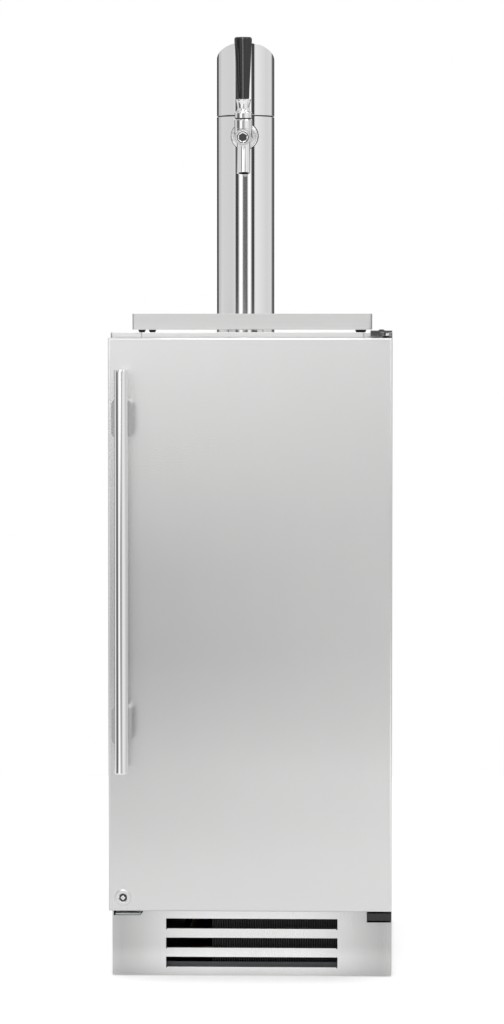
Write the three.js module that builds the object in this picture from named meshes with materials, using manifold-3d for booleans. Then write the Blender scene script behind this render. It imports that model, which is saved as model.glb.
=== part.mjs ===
// Undercounter beverage dispenser: an insulated keg cabinet with one hinged door, a single-tap tower
// and a drip tray. Millimetres, +Z up, the door faces -Y and right is +X. The origin is on the floor
// under the centre of the overall box.

import * as THREE from 'three';
import { mergeVertices } from 'three/addons/utils/BufferGeometryUtils.js';
import Module from 'manifold-3d';

const wasm = await Module();
wasm.setup();

// Fits that every piece shares
const gap = 0.3; // between a piece and its seat
const runningGap = 0.6; // between a moving piece and what it passes
const overrun = 4; // how far a cutting tool runs past the face that it cuts
const sheet = 1.2; // formed stainless and galvanised sheet

// Facets of round pieces
const fineSides = 56;
const roundSides = 32;
const tapSides = 24;
const smallSides = 16;
const tinySides = 10;

// Cabinet
const cabinetWidth = 377.8;
const cabinetDepth = 610; // door front to back panel
const cabinetTop = 869.3;
const sideWall = 38; // outer face to room
const ceilingWall = 42;
const rearWall = 45;
const roomFloor = 136;
const insulationBottom = 100;
const humpDepth = 190; // the step in the room floor over the compressor
const humpTop = 250;
const humpWall = 32;
const railHeight = 30;
const railDepth = 14;
const leftCornerWidth = 40;
const rightCornerWidth = 36.6;

// Base
const panHeight = 8; // floor to the underside of the base pan
const panFlange = 8;
const panelBottom = 4; // floor to the lower edge of the side and back panels
const legInset = 32;
const legPadRadius = 14;
const legPadHeight = 4;
const legStemRadius = 4;
const legNutRadius = 8;
const legStemRise = 14; // stem above the base pan floor

// Toe-kick grille
const toeSetback = 70; // behind the door front
const toeReturn = 16;
const toeTop = 95;
const toeBottom = 1.5;
const slotCount = 3;
const slotSideRoom = 73.05; // cabinet side to the slots
const slotHeight = 13.6;
const slotPitch = 26;
const slotBottom = 12.2; // lowest slot, above the floor
const slotLipDepth = 15;
const slotRelief = 1.4; // open cut at each end of a folded lip
const leftNotchStart = 2; // from the grille's left edge
const leftNotchWidth = 39.2;
const leftNotchSlant = 4;
const leftNotchBottom = 82;
const rightNotchWidth = 33.2;
const rightNotchBottom = 73.6;

// Door
const doorBottom = 97.4;
const doorTopDrop = 6.9; // below the cabinet top
const doorThickness = 46;
const bendRadius = 2.5;
const panelSheet = 2;
const plateauHeight = 12;
const plateauMargin = 9; // between the room wall and the raised part of the inner panel
const plateauCorner = 14;
const gasketThickness = 10;
const gasketWidth = 14;
const gasketInset = 13;

// Door hinges
const pinInset = 7.5; // pin axis to the door's side
const pinDepth = 15; // pin axis behind the door front
const pinRadius = 2.5;
const pinCollarRadius = 3.1;
const bushingWall = 1.7;
const bushingDepth = 12;
const bushingFlange = 1.6;
const bushingFlangeWidth = 1.5;
const hingeWidth = 28.7;
const hingeSetback = 4; // bracket front behind the door front
const hingeReach = 44; // bracket on the cabinet top, behind the case front
const hingePlate = 2.4;
const hingeArmWidth = 13;
const hingeArmDepth = 5.2;
const hingeScrewRadius = 4;
const hingeScrewHeight = 1.6;
const lowerHingeHeight = 10;
const lowerHingeReach = 95; // back end behind the door front
const lowerHingeWidth = 32.4;

// Pull handle
const barDiameter = 18.1;
const barLength = 535;
const barEndRound = 2.2;
const barInset = 20.7; // bar axis from the door's left side
const barRise = 73.2; // bar centre above the door's centre
const handleStandOff = 50; // bar axis in front of the door
const standoffWidth = 26.5;
const standoffHeight = 51.5;
const standoffCorner = 8;
const standoffSpacing = 406;
const standoffWrap = 4; // how far the standoff reaches round the back of the bar
const studRadius = 4;
const studDepth = 16;

// Door lock
const lockInset = 19.3; // lock axis from the door's left side
const lockHeight = 115.3;
const bezelRadius = 11;
const bezelThickness = 1.5;
const lockBarrelRadius = 7.5;
const lockBarrelDepth = 25;
const plugRadius = 4.65;
const plugFlangeStep = 1.2;
const keySlotWidth = 1.4;
const keySlotHeight = 5.6;
const keySlotDepth = 4;
const camThickness = 2.5;
const camWidth = 7;
const camReach = 27;
const strikeFront = 20; // behind the door front
const strikeThickness = 2;
const strikeTop = 91.8;
const strikeLeftInset = 8; // from the cabinet's left side
const strikeWidth = 33;

// Drip tray
const traySideRoom = 28.05; // cabinet side to the tray
const trayHeight = 21.3;
const trayDepth = 166;
const traySetback = 74; // behind the door front
const trayCorner = 3;
const footHeight = 3.5;
const footTopRadius = 5.2;
const footBottomRadius = 3.7;
const footInset = 14.5; // from the tray's front and back
const frontFootInset = 12.15; // from the tray's sides
const rearFootInset = 18.35;
const grilleThickness = 1.5;
const grilleDrop = 1.5; // below the tray rim
const grilleBorder = 12;
const grilleSlotLength = 60;
const grilleSlotWidth = 5;
const grilleSlotPitch = 10.6;
const grilleColumns = 4;

// Tower
const towerRadius = 40;
const towerWall = 2;
const towerX = -16;
const towerSetback = 290; // tower axis behind the door front
const seamRise = 299.3; // cabinet top to the seam under the cap
const seamWidth = 1.2;
const capRise = 401.1; // cabinet top to the highest edge of the slanted cap
const capSlant = THREE.MathUtils.degToRad(28);
const edgeRound = 1.2;
const spigotDepth = 15;
const spigotWall = 1.8;
const passageRadius = 24;
const baseRingHeight = 8;

// Tap. Its places are measured from the front of the tower along the shank, which points down a little.
const tapTilt = THREE.MathUtils.degToRad(4);
const shankRise = 271.5; // cabinet top to the shank at the tower's front
const shankRadius = 11;
const shankBore = 3.2;
const shankFront = 16;
const shankRear = 24;
const tailRadius = 5;
const tailLength = 16;
const nutRadius = 16;
const nutThickness = 8;
const flangeRadius = 18.5;
const flangeFront = 7;
const couplingRadius = 16.5;
const couplingFront = 22;
const couplingNotchWidth = 5;
const couplingNotchDepth = 2;
const couplingNotches = 6;
const barrelRadius = 11.4;
const barrelFront = 60;
const counterboreRadius = 8.5;
const seatPlace = 33;
const seatThickness = 3;
const seatBore = 5.9;
const chamberRadius = 8;
const chamberFront = 43;
const neckPlace = 46;
const neckRadius = 12.4;
const neckTop = 11.8;
const pivotHeight = 16.5;
const ballRadius = 7;
const domeRadius = 14;
const stemRadius = 3;
const lowerStemRadius = 1.6;
const lowerBallRadius = 2.6;
const leverSwing = THREE.MathUtils.degToRad(30);
const collarRadius = 12;
const collarTop = 34;
const leverNeckRadius = 8.4;
const leverNeckHeight = 40;
const ferruleRadius = 10.6;
const ferruleTop = 51.5;
const handleStudRadius = 4.7;
const handleStudLength = 12;
const handleFoot = 8.25;
const handleHead = 12.05;
const handleTop = 136.6;
const handleShoulder = 2.6;
const handleHeadLength = 5.2;
const spoutPlace = 38;
const spoutRadius = 9.3;
const spoutWall = 1.85;
const spoutTilt = THREE.MathUtils.degToRad(14);
const spoutLength = 51;
const faucetShaftRadius = 4.5;
const valveRadius = 7.2;
const valveThickness = 4.5;
const shaftFrontRoom = 3;
const frontCapRadius = 9.2;
const frontCapLength = 9.7;
const hexRadius = 5.5;
const hexDepth = 4.5;

// Refrigeration
const condenserLeftRoom = 134.9; // cabinet side to the condenser
const condenserRightRoom = 36.9;
const condenserHeight = 74;
const condenserDepth = 44;
const condenserSetback = 93; // behind the door front
const finPitch = 3.2;
const finThickness = 0.9;
const finDepth = 14;
const shroudDepth = 16;
const shroudWall = 1.5;
const condenserFanRadius = 31;
const fanHubRadius = 9;
const fanHubLength = 12;
const fanBladeThickness = 1.6;
const fanBladeCount = 5;
const fanBladePitch = THREE.MathUtils.degToRad(32);
const bladeChordShare = 0.9; // of the chord that would fill the hub's length
const fanTipGap = 3;
const motorRadius = 15;
const motorLength = 26;
const motorShaftRadius = 2;
const armWidth = 5;
const armThickness = 3;
const compressorRadius = 64;
const compressorHeight = 158;
const compressorShoulder = 21; // rounding of the pot's rims
const compressorX = -38;
const compressorBackRoom = 22;
const compressorFootWidth = 150;
const compressorFootDepth = 110;
const compressorFootThickness = 3;
const compressorFootRise = 12;
const compressorPadRadius = 9;
const compressorPadInset = 12;
const tubeRadius = 4;
const tubeBend = 16;
const dischargeOffset = 32; // sideways from the compressor's axis
const dischargeRun = 48; // from the compressor to the first bend
const dischargeSideRoom = 32; // beside the condenser
const suctionOffset = 25; // sideways from the compressor's axis
const suctionBackRoom = 20;
const coilBottomRoom = 16; // above the hump
const coilWidth = 190;
const coilHeight = 130;
const coilDepth = 32;
const coilFinPitch = 6.4;
const coverWidth = 230;
const coverDepth = 58;
const coverTopRoom = 26; // below the ceiling
const coverBottomRoom = 8; // above the hump
const coverFanDrop = 62; // fan axis below the cover's top
const coverFanRadius = 42;
const evaporatorFanRadius = 37;
const louverHeight = 4;
const louverPitch = 9;
const intakeRows = 4;
const intakeWidth = 150;
const knobRadius = 17;
const knobLength = 14;
const knobGrip = 3;
const knobInset = 30;
const knobShaftRadius = 3;

// Places that follow from the sizes above
const halfWidth = cabinetWidth / 2;
const innerHalf = halfWidth - sheet - gap;
const doorTop = cabinetTop - doorTopDrop;
const barCentreHeight = (doorBottom + doorTop) / 2 + barRise;
const seamHeight = cabinetTop + seamRise;
const capTop = cabinetTop + capRise;
const shankHeight = cabinetTop + shankRise;
const barX = -halfWidth + barInset;
const lockX = -halfWidth + lockInset;
const trayHalf = halfWidth - traySideRoom;
const slotHalf = halfWidth - slotSideRoom;
const barReach = handleStandOff + barDiameter / 2;
const doorFrontY = (barReach - cabinetDepth) / 2;
const backY = doorFrontY + cabinetDepth;
const behind = (distance) => doorFrontY + distance;
const doorBackY = behind(doorThickness);
const caseFrontY = doorBackY + gap + gasketThickness + gap;
const roomHalf = halfWidth - sideWall;
const roomCeiling = cabinetTop - ceilingWall;
const roomBackY = backY - rearWall;
const humpFrontY = roomBackY - humpDepth;
const railBottom = cabinetTop - railHeight;
const toeBackY = behind(toeSetback + toeReturn);
const panTop = panHeight + sheet;
const towerY = behind(towerSetback);
const pinX = halfWidth - pinInset;
const pinY = behind(pinDepth);
const trayBottom = cabinetTop + gap + footHeight + gap;
const trayFrontY = behind(traySetback);
const trayBackY = trayFrontY + trayDepth;
const lowerHingeTop = doorBottom - gap - bushingFlange - gap;

const colour = {
  stainless: [0xcfcfcd, 0.34, 1],
  polished: [0xe2e2e2, 0.07, 1],
  dark: [0x4c4c4e, 0.4, 0.8],
  galvanised: [0xa9adb0, 0.5, 0.9],
  black: [0x1b1b1c, 0.5, 0],
  rubber: [0x161617, 0.85, 0],
  foam: [0xd9cda2, 0.95, 0],
  gasket: [0x8d9093, 0.8, 0],
  white: [0xe9e9e6, 0.5, 0],
  copper: [0xb8703f, 0.3, 1],
  brass: [0xb59a55, 0.3, 1],
  fin: [0x8f9396, 0.45, 0.9],
};

// Turns a closed geometry into a solid that can be joined and cut.
function toSolid(geometry) {
  const bare = new THREE.BufferGeometry();
  bare.setAttribute('position', geometry.getAttribute('position'));
  bare.setIndex(geometry.getIndex());
  const merged = mergeVertices(bare);
  const corners = merged.getIndex().array;
  const kept = [];
  for (let i = 0; i < corners.length; i += 3) {
    const [a, b, c] = [corners[i], corners[i + 1], corners[i + 2]];
    if (a !== b && b !== c && c !== a) kept.push(a, b, c);
  }
  const vertProperties = Float32Array.from(merged.getAttribute('position').array);
  const triVerts = Uint32Array.from(kept);
  return new wasm.Manifold(new wasm.Mesh({ numProp: 3, vertProperties, triVerts }));
}

function toGeometry(solid) {
  const { vertProperties, triVerts } = solid.getMesh();
  const geometry = new THREE.BufferGeometry();
  geometry.setAttribute('position', new THREE.BufferAttribute(vertProperties, 3));
  geometry.setIndex(new THREE.BufferAttribute(triVerts, 1));
  geometry.computeVertexNormals();
  return geometry;
}

function piece(name, solid, [tint, roughness, metalness]) {
  const material = new THREE.MeshStandardMaterial({ color: tint, roughness, metalness });
  const mesh = new THREE.Mesh(toGeometry(solid), material);
  mesh.name = name;
  return mesh;
}

const join = (solids) => solids.reduce((whole, solid) => whole.add(solid));
const cut = (solid, tools) => tools.reduce((rest, tool) => rest.subtract(tool), solid);

function block([x0, x1], [y0, y1], [z0, z1]) {
  const geometry = new THREE.BoxGeometry(x1 - x0, y1 - y0, z1 - z0);
  geometry.translate((x0 + x1) / 2, (y0 + y1) / 2, (z0 + z1) / 2);
  return toSolid(geometry);
}

// The span is along the named axis. The centre gives the other two places, in X, Y, Z order.
function rodGeometry(axis, radius, [from, to], [u, v], sides) {
  const geometry = new THREE.CylinderGeometry(radius, radius, to - from, sides);
  const middle = (from + to) / 2;
  if (axis === 'y') return geometry.translate(u, middle, v);
  return geometry.rotateX(Math.PI / 2).translate(u, v, middle);
}

const rod = (...args) => toSolid(rodGeometry(...args));

// A body of revolution about a vertical axis. The profile lists radius and height, from bottom to top.
function turned(profile, sides, [x, y] = [0, 0]) {
  const points = profile.map(([radius, height]) => new THREE.Vector2(radius, height));
  const geometry = new THREE.LatheGeometry(points, sides);
  return toSolid(geometry.rotateX(Math.PI / 2).translate(x, y, 0));
}

// The same, about a level axis that runs from the tower to the front; the profile's height is the
// distance in front of the origin.
function turnedForward(profile, sides) {
  const points = profile.map(([radius, height]) => new THREE.Vector2(radius, height));
  const geometry = new THREE.LatheGeometry(points, sides);
  return toSolid(geometry.rotateX(Math.PI));
}

// An outline in X and Z, carried along Y.
function plateAlongY(shape, [from, to], curveSegments = 4) {
  const options = { depth: to - from, bevelEnabled: false, curveSegments };
  const geometry = new THREE.ExtrudeGeometry(shape, options);
  return toSolid(geometry.rotateX(Math.PI / 2).translate(0, to, 0));
}

// An outline in X and Y, carried along Z.
function plateAlongZ(shape, [from, to], curveSegments = 4) {
  const options = { depth: to - from, bevelEnabled: false, curveSegments };
  const geometry = new THREE.ExtrudeGeometry(shape, options);
  return toSolid(geometry.translate(0, 0, from));
}

// An outline in Y and Z, carried along X.
function plateAlongX(points, [from, to]) {
  const shape = new THREE.Shape(points.map(([y, z]) => new THREE.Vector2(y, z)));
  const geometry = new THREE.ExtrudeGeometry(shape, { depth: to - from, bevelEnabled: false });
  return toSolid(geometry.rotateX(Math.PI / 2).rotateZ(Math.PI / 2).translate(from, 0, 0));
}

function roundedOutline([u0, u1], [v0, v1], radius) {
  const shape = new THREE.Shape();
  shape.moveTo(u0 + radius, v0);
  shape.lineTo(u1 - radius, v0);
  shape.absarc(u1 - radius, v0 + radius, radius, -Math.PI / 2, 0);
  shape.lineTo(u1, v1 - radius);
  shape.absarc(u1 - radius, v1 - radius, radius, 0, Math.PI / 2);
  shape.lineTo(u0 + radius, v1);
  shape.absarc(u0 + radius, v1 - radius, radius, Math.PI / 2, Math.PI);
  shape.lineTo(u0, v0 + radius);
  shape.absarc(u0 + radius, v0 + radius, radius, Math.PI, Math.PI * 1.5);
  return shape;
}

// Points of an arc in a profile of radius and height, from one elevation angle to another.
function profileArc(radius, centreHeight, fromAngle, toAngle, steps) {
  return Array.from({ length: steps + 1 }, (_, i) => {
    const angle = fromAngle + ((toAngle - fromAngle) * i) / steps;
    return [radius * Math.cos(angle), centreHeight + radius * Math.sin(angle)];
  });
}

// A tube along straight runs with round bends.
function tubeThrough(points, radius, bend, sides) {
  const corners = points.map((point) => new THREE.Vector3(...point));
  const path = new THREE.CurvePath();
  let start = corners[0];
  for (let i = 1; i < corners.length - 1; i += 1) {
    const before = corners[i].clone().add(corners[i - 1].clone().sub(corners[i]).setLength(bend));
    const after = corners[i].clone().add(corners[i + 1].clone().sub(corners[i]).setLength(bend));
    path.add(new THREE.LineCurve3(start, before));
    path.add(new THREE.QuadraticBezierCurve3(before, corners[i], after));
    start = after;
  }
  path.add(new THREE.LineCurve3(start, corners[corners.length - 1]));
  const section = new THREE.Shape();
  section.absarc(0, 0, radius, 0, Math.PI * 2);
  const steps = (corners.length - 1) * sides;
  const options = { extrudePath: path, steps, curveSegments: sides / 2, bevelEnabled: false };
  return toSolid(new THREE.ExtrudeGeometry(section, options));
}

// The space that a rod sweeps as it swings about a line along X, as an outline in Y and Z about that
// line. The rod points up and swings to the front.
const sweptFan = (half, reach, swing) => [
  [half, 0],
  [half, reach],
  [-reach * Math.sin(swing) - half * Math.cos(swing), reach * Math.cos(swing) - half * Math.sin(swing)],
  [-half * Math.cos(swing), -half * Math.sin(swing)],
];

const unit = new THREE.Group();

// Insulated cabinet

// Outline of the keg room in Y and Z, with its walls moved outwards by `grow` and its front at `frontY`.
const roomOutline = (frontY, grow) => [
  [frontY, roomFloor - grow],
  [humpFrontY + grow, roomFloor - grow],
  [humpFrontY + grow, humpTop - grow],
  [roomBackY + grow, humpTop - grow],
  [roomBackY + grow, roomCeiling + grow],
  [frontY, roomCeiling + grow],
];

const roomSolid = (frontY, grow) =>
  plateAlongX(roomOutline(frontY, grow), [-roomHalf - grow, roomHalf + grow]);

const towerPassage = ([from, to], grow) =>
  rod('z', passageRadius + grow, [from, to], [towerX, towerY], roundSides);

const compressorY = backY - sheet - compressorBackRoom - compressorRadius;
const coilY = roomBackY - gap - coilDepth;
const coilBottom = humpTop + coilBottomRoom;
const suctionX = compressorX - suctionOffset;
const suctionY = roomBackY - suctionBackRoom;

// Where the suction line climbs through the insulation into the evaporator housing.
function suctionHole(grow) {
  const span = [humpTop - humpWall - overrun, coilBottom];
  return rod('z', tubeRadius + grow, span, [suctionX, suctionY], tinySides);
}

function sidePanel(name, side) {
  const outline = [
    [toeBackY + gap, panelBottom],
    [backY, panelBottom],
    [backY, cabinetTop],
    [caseFrontY, cabinetTop],
    [caseFrontY, toeTop + gap],
    [toeBackY + gap, toeTop + gap],
  ];
  const span = [side * (halfWidth - sheet), side * halfWidth].sort((a, b) => a - b);
  return piece(name, plateAlongX(outline, span), colour.stainless);
}

function topPanel() {
  const frontY = caseFrontY + railDepth + gap;
  const rearY = backY - sheet - gap;
  const plate = block([-innerHalf, innerHalf], [frontY, rearY], [cabinetTop - sheet, cabinetTop]);
  const hole = towerPassage([cabinetTop - sheet - overrun, cabinetTop + overrun], 0);
  return piece('top_panel', cut(plate, [hole]), colour.stainless);
}

function backPanel() {
  const plate = block([-innerHalf, innerHalf], [backY - sheet, backY], [panelBottom, cabinetTop]);
  return piece('back_panel', plate, colour.galvanised);
}

function foamInsulation() {
  const top = cabinetTop - sheet - gap;
  const front = caseFrontY + sheet + gap;
  const back = backY - sheet - gap;
  const outline = [
    [front, insulationBottom + sheet + gap],
    [humpFrontY + humpWall, insulationBottom + sheet + gap],
    [humpFrontY + humpWall, humpTop - humpWall],
    [back, humpTop - humpWall],
    [back, top],
    [front, top],
  ];
  const core = plateAlongX(outline, [-innerHalf, innerHalf]);
  const room = roomSolid(front - overrun, sheet + gap);
  const passage = towerPassage([roomCeiling - overrun, cabinetTop + overrun], gap);
  return piece('foam_insulation', cut(core, [room, passage, suctionHole(gap)]), colour.foam);
}

function innerLiner() {
  const shell = roomSolid(caseFrontY, sheet);
  const flange = block(
    [-innerHalf, innerHalf],
    [caseFrontY, caseFrontY + sheet],
    [insulationBottom, railBottom - gap],
  );
  const underside = block(
    [-innerHalf, innerHalf],
    [caseFrontY, humpFrontY + humpWall],
    [insulationBottom, insulationBottom + sheet],
  );
  const room = roomSolid(caseFrontY - overrun, 0);
  const passage = towerPassage([roomCeiling - overrun, roomCeiling + sheet + overrun], 0);
  const holes = [room, passage, suctionHole(gap)];
  return piece('inner_liner', cut(join([shell, flange, underside]), holes), colour.stainless);
}

// A length of the folded rail along the cabinet's top front edge.
function topRail(name, span) {
  const outline = [
    [caseFrontY, railBottom],
    [caseFrontY + sheet, railBottom],
    [caseFrontY + sheet, cabinetTop - sheet],
    [caseFrontY + railDepth, cabinetTop - sheet],
    [caseFrontY + railDepth, cabinetTop],
    [caseFrontY, cabinetTop],
  ];
  return piece(name, plateAlongX(outline, span), colour.stainless);
}

unit.add(sidePanel('left_side_panel', -1), sidePanel('right_side_panel', 1));
unit.add(topPanel(), backPanel(), foamInsulation(), innerLiner());
unit.add(
  topRail('top_corner_left', [-innerHalf, -innerHalf + leftCornerWidth]),
  topRail('top_front_rail', [-innerHalf + leftCornerWidth + gap, innerHalf - rightCornerWidth - gap]),
  topRail('top_corner_right', [innerHalf - rightCornerWidth, innerHalf]),
);

// Base pan and levelling legs

const legPlaces = [
  ['leveling_leg_front_left', -1, toeBackY + legInset],
  ['leveling_leg_front_right', 1, toeBackY + legInset],
  ['leveling_leg_rear_left', -1, backY - legInset],
  ['leveling_leg_rear_right', 1, backY - legInset],
];

function basePan() {
  const [frontY, rearY] = [toeBackY + gap, backY - sheet - gap];
  const outside = block([-innerHalf, innerHalf], [frontY, rearY], [panHeight, panTop + panFlange]);
  const inside = block(
    [-innerHalf + sheet, innerHalf - sheet],
    [frontY + sheet, rearY - sheet],
    [panTop, panTop + panFlange + overrun],
  );
  const throughPan = [panHeight - overrun, panTop + overrun];
  const holes = legPlaces.map(([, side, y]) =>
    rod('z', legStemRadius + gap, throughPan, [side * (halfWidth - legInset), y], smallSides),
  );
  return piece('base_pan', cut(outside, [inside, ...holes]), colour.galvanised);
}

function levelingLeg([name, side, y]) {
  const profile = [
    [0, 0],
    [legPadRadius, 0],
    [legPadRadius, legPadHeight / 2],
    [legNutRadius, legPadHeight],
    [legNutRadius, panHeight - gap],
    [legStemRadius, panHeight - gap],
    [legStemRadius, panTop + legStemRise],
    [0, panTop + legStemRise],
  ];
  return piece(name, turned(profile, smallSides, [side * (halfWidth - legInset), y]), colour.dark);
}

unit.add(basePan(), ...legPlaces.map(levelingLeg));

// Toe-kick grille: a folded pan with three louvre slots, notched for the hinge at its upper corners

const toeHalf = halfWidth - gap;
const toeY = behind(toeSetback);
const slotBottoms = Array.from({ length: slotCount }, (_, i) => slotBottom + i * slotPitch);

function toeKickGrille() {
  const outside = block([-toeHalf, toeHalf], [toeY, toeBackY], [toeBottom, toeTop]);
  const inside = block(
    [-toeHalf + sheet, toeHalf - sheet],
    [toeY + sheet, toeBackY + overrun],
    [toeBottom + sheet, toeTop + overrun],
  );
  const slots = slotBottoms.map((bottom) =>
    block([-slotHalf, slotHalf], [toeY - overrun, toeY + sheet + overrun], [bottom, bottom + slotHeight]),
  );
  const notchLeft = -toeHalf + leftNotchStart;
  const leftNotch = new THREE.Shape([
    new THREE.Vector2(notchLeft, leftNotchBottom),
    new THREE.Vector2(notchLeft + leftNotchWidth - leftNotchSlant, leftNotchBottom),
    new THREE.Vector2(notchLeft + leftNotchWidth, leftNotchBottom + leftNotchSlant),
    new THREE.Vector2(notchLeft + leftNotchWidth, toeTop + overrun),
    new THREE.Vector2(notchLeft, toeTop + overrun),
  ]);
  const rightNotch = block(
    [toeHalf - rightNotchWidth, toeHalf + overrun],
    [toeY - overrun, toeBackY + overrun],
    [rightNotchBottom, toeTop + overrun],
  );
  const leftCut = plateAlongY(leftNotch, [toeY - overrun, toeY + sheet + overrun]);
  const pan = cut(outside, [inside, ...slots, leftCut, rightNotch]);
  const lipHalf = slotHalf - slotRelief;
  const reliefs = slotBottoms.flatMap((bottom) =>
    [-1, 1].map((side) => {
      const span = [side * lipHalf, side * slotHalf].sort((a, b) => a - b);
      return block(span, [toeY - overrun, toeY + sheet + overrun], [bottom - sheet, bottom + sheet]);
    }),
  );
  const lips = slotBottoms.map((bottom) =>
    block([-lipHalf, lipHalf], [toeY, toeY + slotLipDepth], [bottom - sheet, bottom]),
  );
  return piece('toe_kick_grille', join([cut(pan, reliefs), ...lips]), colour.stainless);
}

unit.add(toeKickGrille());

// Refrigeration in the base and behind the evaporator cover

// A finned block: fins stand forward from a solid core. The outline is in X and Y.
function finnedBlock(name, [x0, x1], [frontY, rearY], [z0, z1], pitch, tint) {
  const outline = [new THREE.Vector2(x0, rearY)];
  const count = Math.floor((x1 - x0 - finThickness) / pitch);
  const rootY = frontY + finDepth;
  for (let i = 0; i <= count; i += 1) {
    const left = x0 + i * pitch;
    outline.push(new THREE.Vector2(left, i === 0 ? frontY : rootY));
    if (i > 0) outline.push(new THREE.Vector2(left, frontY));
    outline.push(new THREE.Vector2(left + finThickness, frontY));
    outline.push(new THREE.Vector2(left + finThickness, rootY));
  }
  outline.push(new THREE.Vector2(x1, rootY), new THREE.Vector2(x1, rearY));
  return piece(name, plateAlongZ(new THREE.Shape(outline), [z0, z1]), tint);
}

// Blades pitched about their own length round a bored hub, turning about a line along Y.
function fan(name, radius, frontY, [x, z]) {
  const span = [frontY, frontY + fanHubLength];
  const hub = rod('y', fanHubRadius, span, [x, z], smallSides);
  const chord = (fanHubLength / Math.sin(fanBladePitch)) * bladeChordShare;
  const blades = Array.from({ length: fanBladeCount }, (_, i) => {
    const length = radius - fanHubRadius / 2;
    const blade = new THREE.BoxGeometry(chord, fanBladeThickness, length);
    blade.rotateZ(fanBladePitch).translate(0, 0, radius - length / 2);
    blade.rotateY((i * Math.PI * 2) / fanBladeCount).translate(x, frontY + fanHubLength / 2, z);
    return toSolid(blade);
  });
  const tips = rod('y', radius, [span[0] - overrun, span[1] + overrun], [x, z], roundSides);
  const bore = rod('y', motorShaftRadius + gap, [span[0] - overrun, span[1] + overrun], [x, z], tinySides);
  return piece(name, cut(join([hub, ...blades]).intersect(tips), [bore]), colour.black);
}

// A motor whose shaft points to the front and carries a fan.
function fanMotor(name, fanFrontY, rearY, [x, z]) {
  const fanRearY = fanFrontY + fanHubLength;
  const shaft = rod('y', motorShaftRadius, [fanFrontY, rearY], [x, z], tinySides);
  const can = rod('y', motorRadius, [fanRearY + runningGap, rearY], [x, z], smallSides);
  return piece(name, join([shaft, can]), colour.dark);
}

const condenserY = behind(condenserSetback);
const condenserBackY = condenserY + condenserDepth;
const condenserBottom = panTop + gap;
const condenserTop = condenserBottom + condenserHeight;
const condenserX = [-halfWidth + condenserLeftRoom, halfWidth - condenserRightRoom];
const fanCentre = [(condenserX[0] + condenserX[1]) / 2, condenserBottom + condenserHeight / 2];
const shroudY = condenserBackY + gap;
const condenserFanY = shroudY + shroudDepth;
const armY = condenserFanY + fanHubLength + runningGap;

function condenserShroud() {
  const shellY = [shroudY, condenserFanY + shroudWall];
  const outside = block(condenserX, shellY, [condenserBottom, condenserTop]);
  const inside = block(
    [condenserX[0] + shroudWall, condenserX[1] - shroudWall],
    [shroudY - overrun, condenserFanY],
    [condenserBottom + shroudWall, condenserTop - shroudWall],
  );
  const ringRadius = condenserFanRadius + fanTipGap;
  const ring = rod('y', ringRadius + shroudWall, [condenserFanY, armY + armThickness], fanCentre, roundSides);
  const tunnel = rod('y', ringRadius, [shroudY, armY + armThickness + overrun], fanCentre, roundSides);
  const arms = [0, 1].map((turn) => {
    const half = [ringRadius + shroudWall / 2, armWidth / 2];
    const [acrossX, acrossZ] = turn ? half : [half[1], half[0]];
    return block(
      [fanCentre[0] - acrossX, fanCentre[0] + acrossX],
      [armY, armY + armThickness],
      [fanCentre[1] - acrossZ, fanCentre[1] + acrossZ],
    );
  });
  const armSpan = [armY, armY + armThickness];
  const motorSeat = rod('y', motorRadius + armThickness, armSpan, fanCentre, smallSides);
  const throughArms = [armY - overrun, armY + armThickness + overrun];
  const motorHole = rod('y', motorRadius + gap, throughArms, fanCentre, smallSides);
  const frame = join([cut(join([cut(outside, [inside]), ring]), [tunnel]), ...arms, motorSeat]);
  return piece('condenser_shroud', cut(frame, [motorHole]), colour.black);
}

const potTop = panTop + gap + compressorHeight;

function compressor() {
  const footBottom = panTop + gap;
  const plateBottom = footBottom + compressorFootRise;
  const potBottom = plateBottom + compressorFootThickness;
  const flatRadius = compressorRadius - compressorShoulder;
  const rim = (height, from, to) =>
    profileArc(compressorShoulder, height, from, to, 4).map(([r, z]) => [r + flatRadius, z]);
  const profile = [
    [0, plateBottom],
    ...rim(potBottom + compressorShoulder, -Math.PI / 2, 0),
    ...rim(potTop - compressorShoulder, 0, Math.PI / 2),
    [0, potTop],
  ];
  const pot = turned(profile, roundSides, [compressorX, compressorY]);
  const [halfX, halfY] = [compressorFootWidth / 2, compressorFootDepth / 2];
  const plate = block(
    [compressorX - halfX, compressorX + halfX],
    [compressorY - halfY, compressorY + halfY],
    [plateBottom, potBottom],
  );
  const pads = [-1, 1].flatMap((sideX) =>
    [-1, 1].map((sideY) => {
      const padX = compressorX + sideX * (halfX - compressorPadInset);
      const padY = compressorY + sideY * (halfY - compressorPadInset);
      const span = [footBottom, plateBottom + compressorFootThickness / 2];
      return rod('z', compressorPadRadius, span, [padX, padY], tinySides);
    }),
  );
  return piece('compressor', join([pot, plate, ...pads]), colour.black);
}

// From the compressor's side forward, then across and into the condenser's left end.
function dischargeLine() {
  const height = fanCentre[1];
  const startX = compressorX + dischargeOffset;
  const nearSide = dischargeOffset - tubeRadius;
  const startY = compressorY - Math.sqrt(compressorRadius ** 2 - nearSide ** 2) - gap;
  const entryX = condenserX[0] - gap;
  const entryY = condenserY + (finDepth + condenserDepth) / 2;
  const points = [
    [startX, startY, height],
    [startX, startY - dischargeRun, height],
    [entryX - dischargeSideRoom, startY - dischargeRun, height],
    [entryX - dischargeSideRoom, entryY, height],
    [entryX, entryY, height],
  ];
  return piece('discharge_line', tubeThrough(points, tubeRadius, tubeBend, tinySides), colour.copper);
}

// From the compressor's top, up through the insulation, to the evaporator coil.
function suctionLine() {
  const line = rod('z', tubeRadius, [potTop + gap, coilBottom - gap], [suctionX, suctionY], tinySides);
  return piece('suction_line', line, colour.copper);
}

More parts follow.
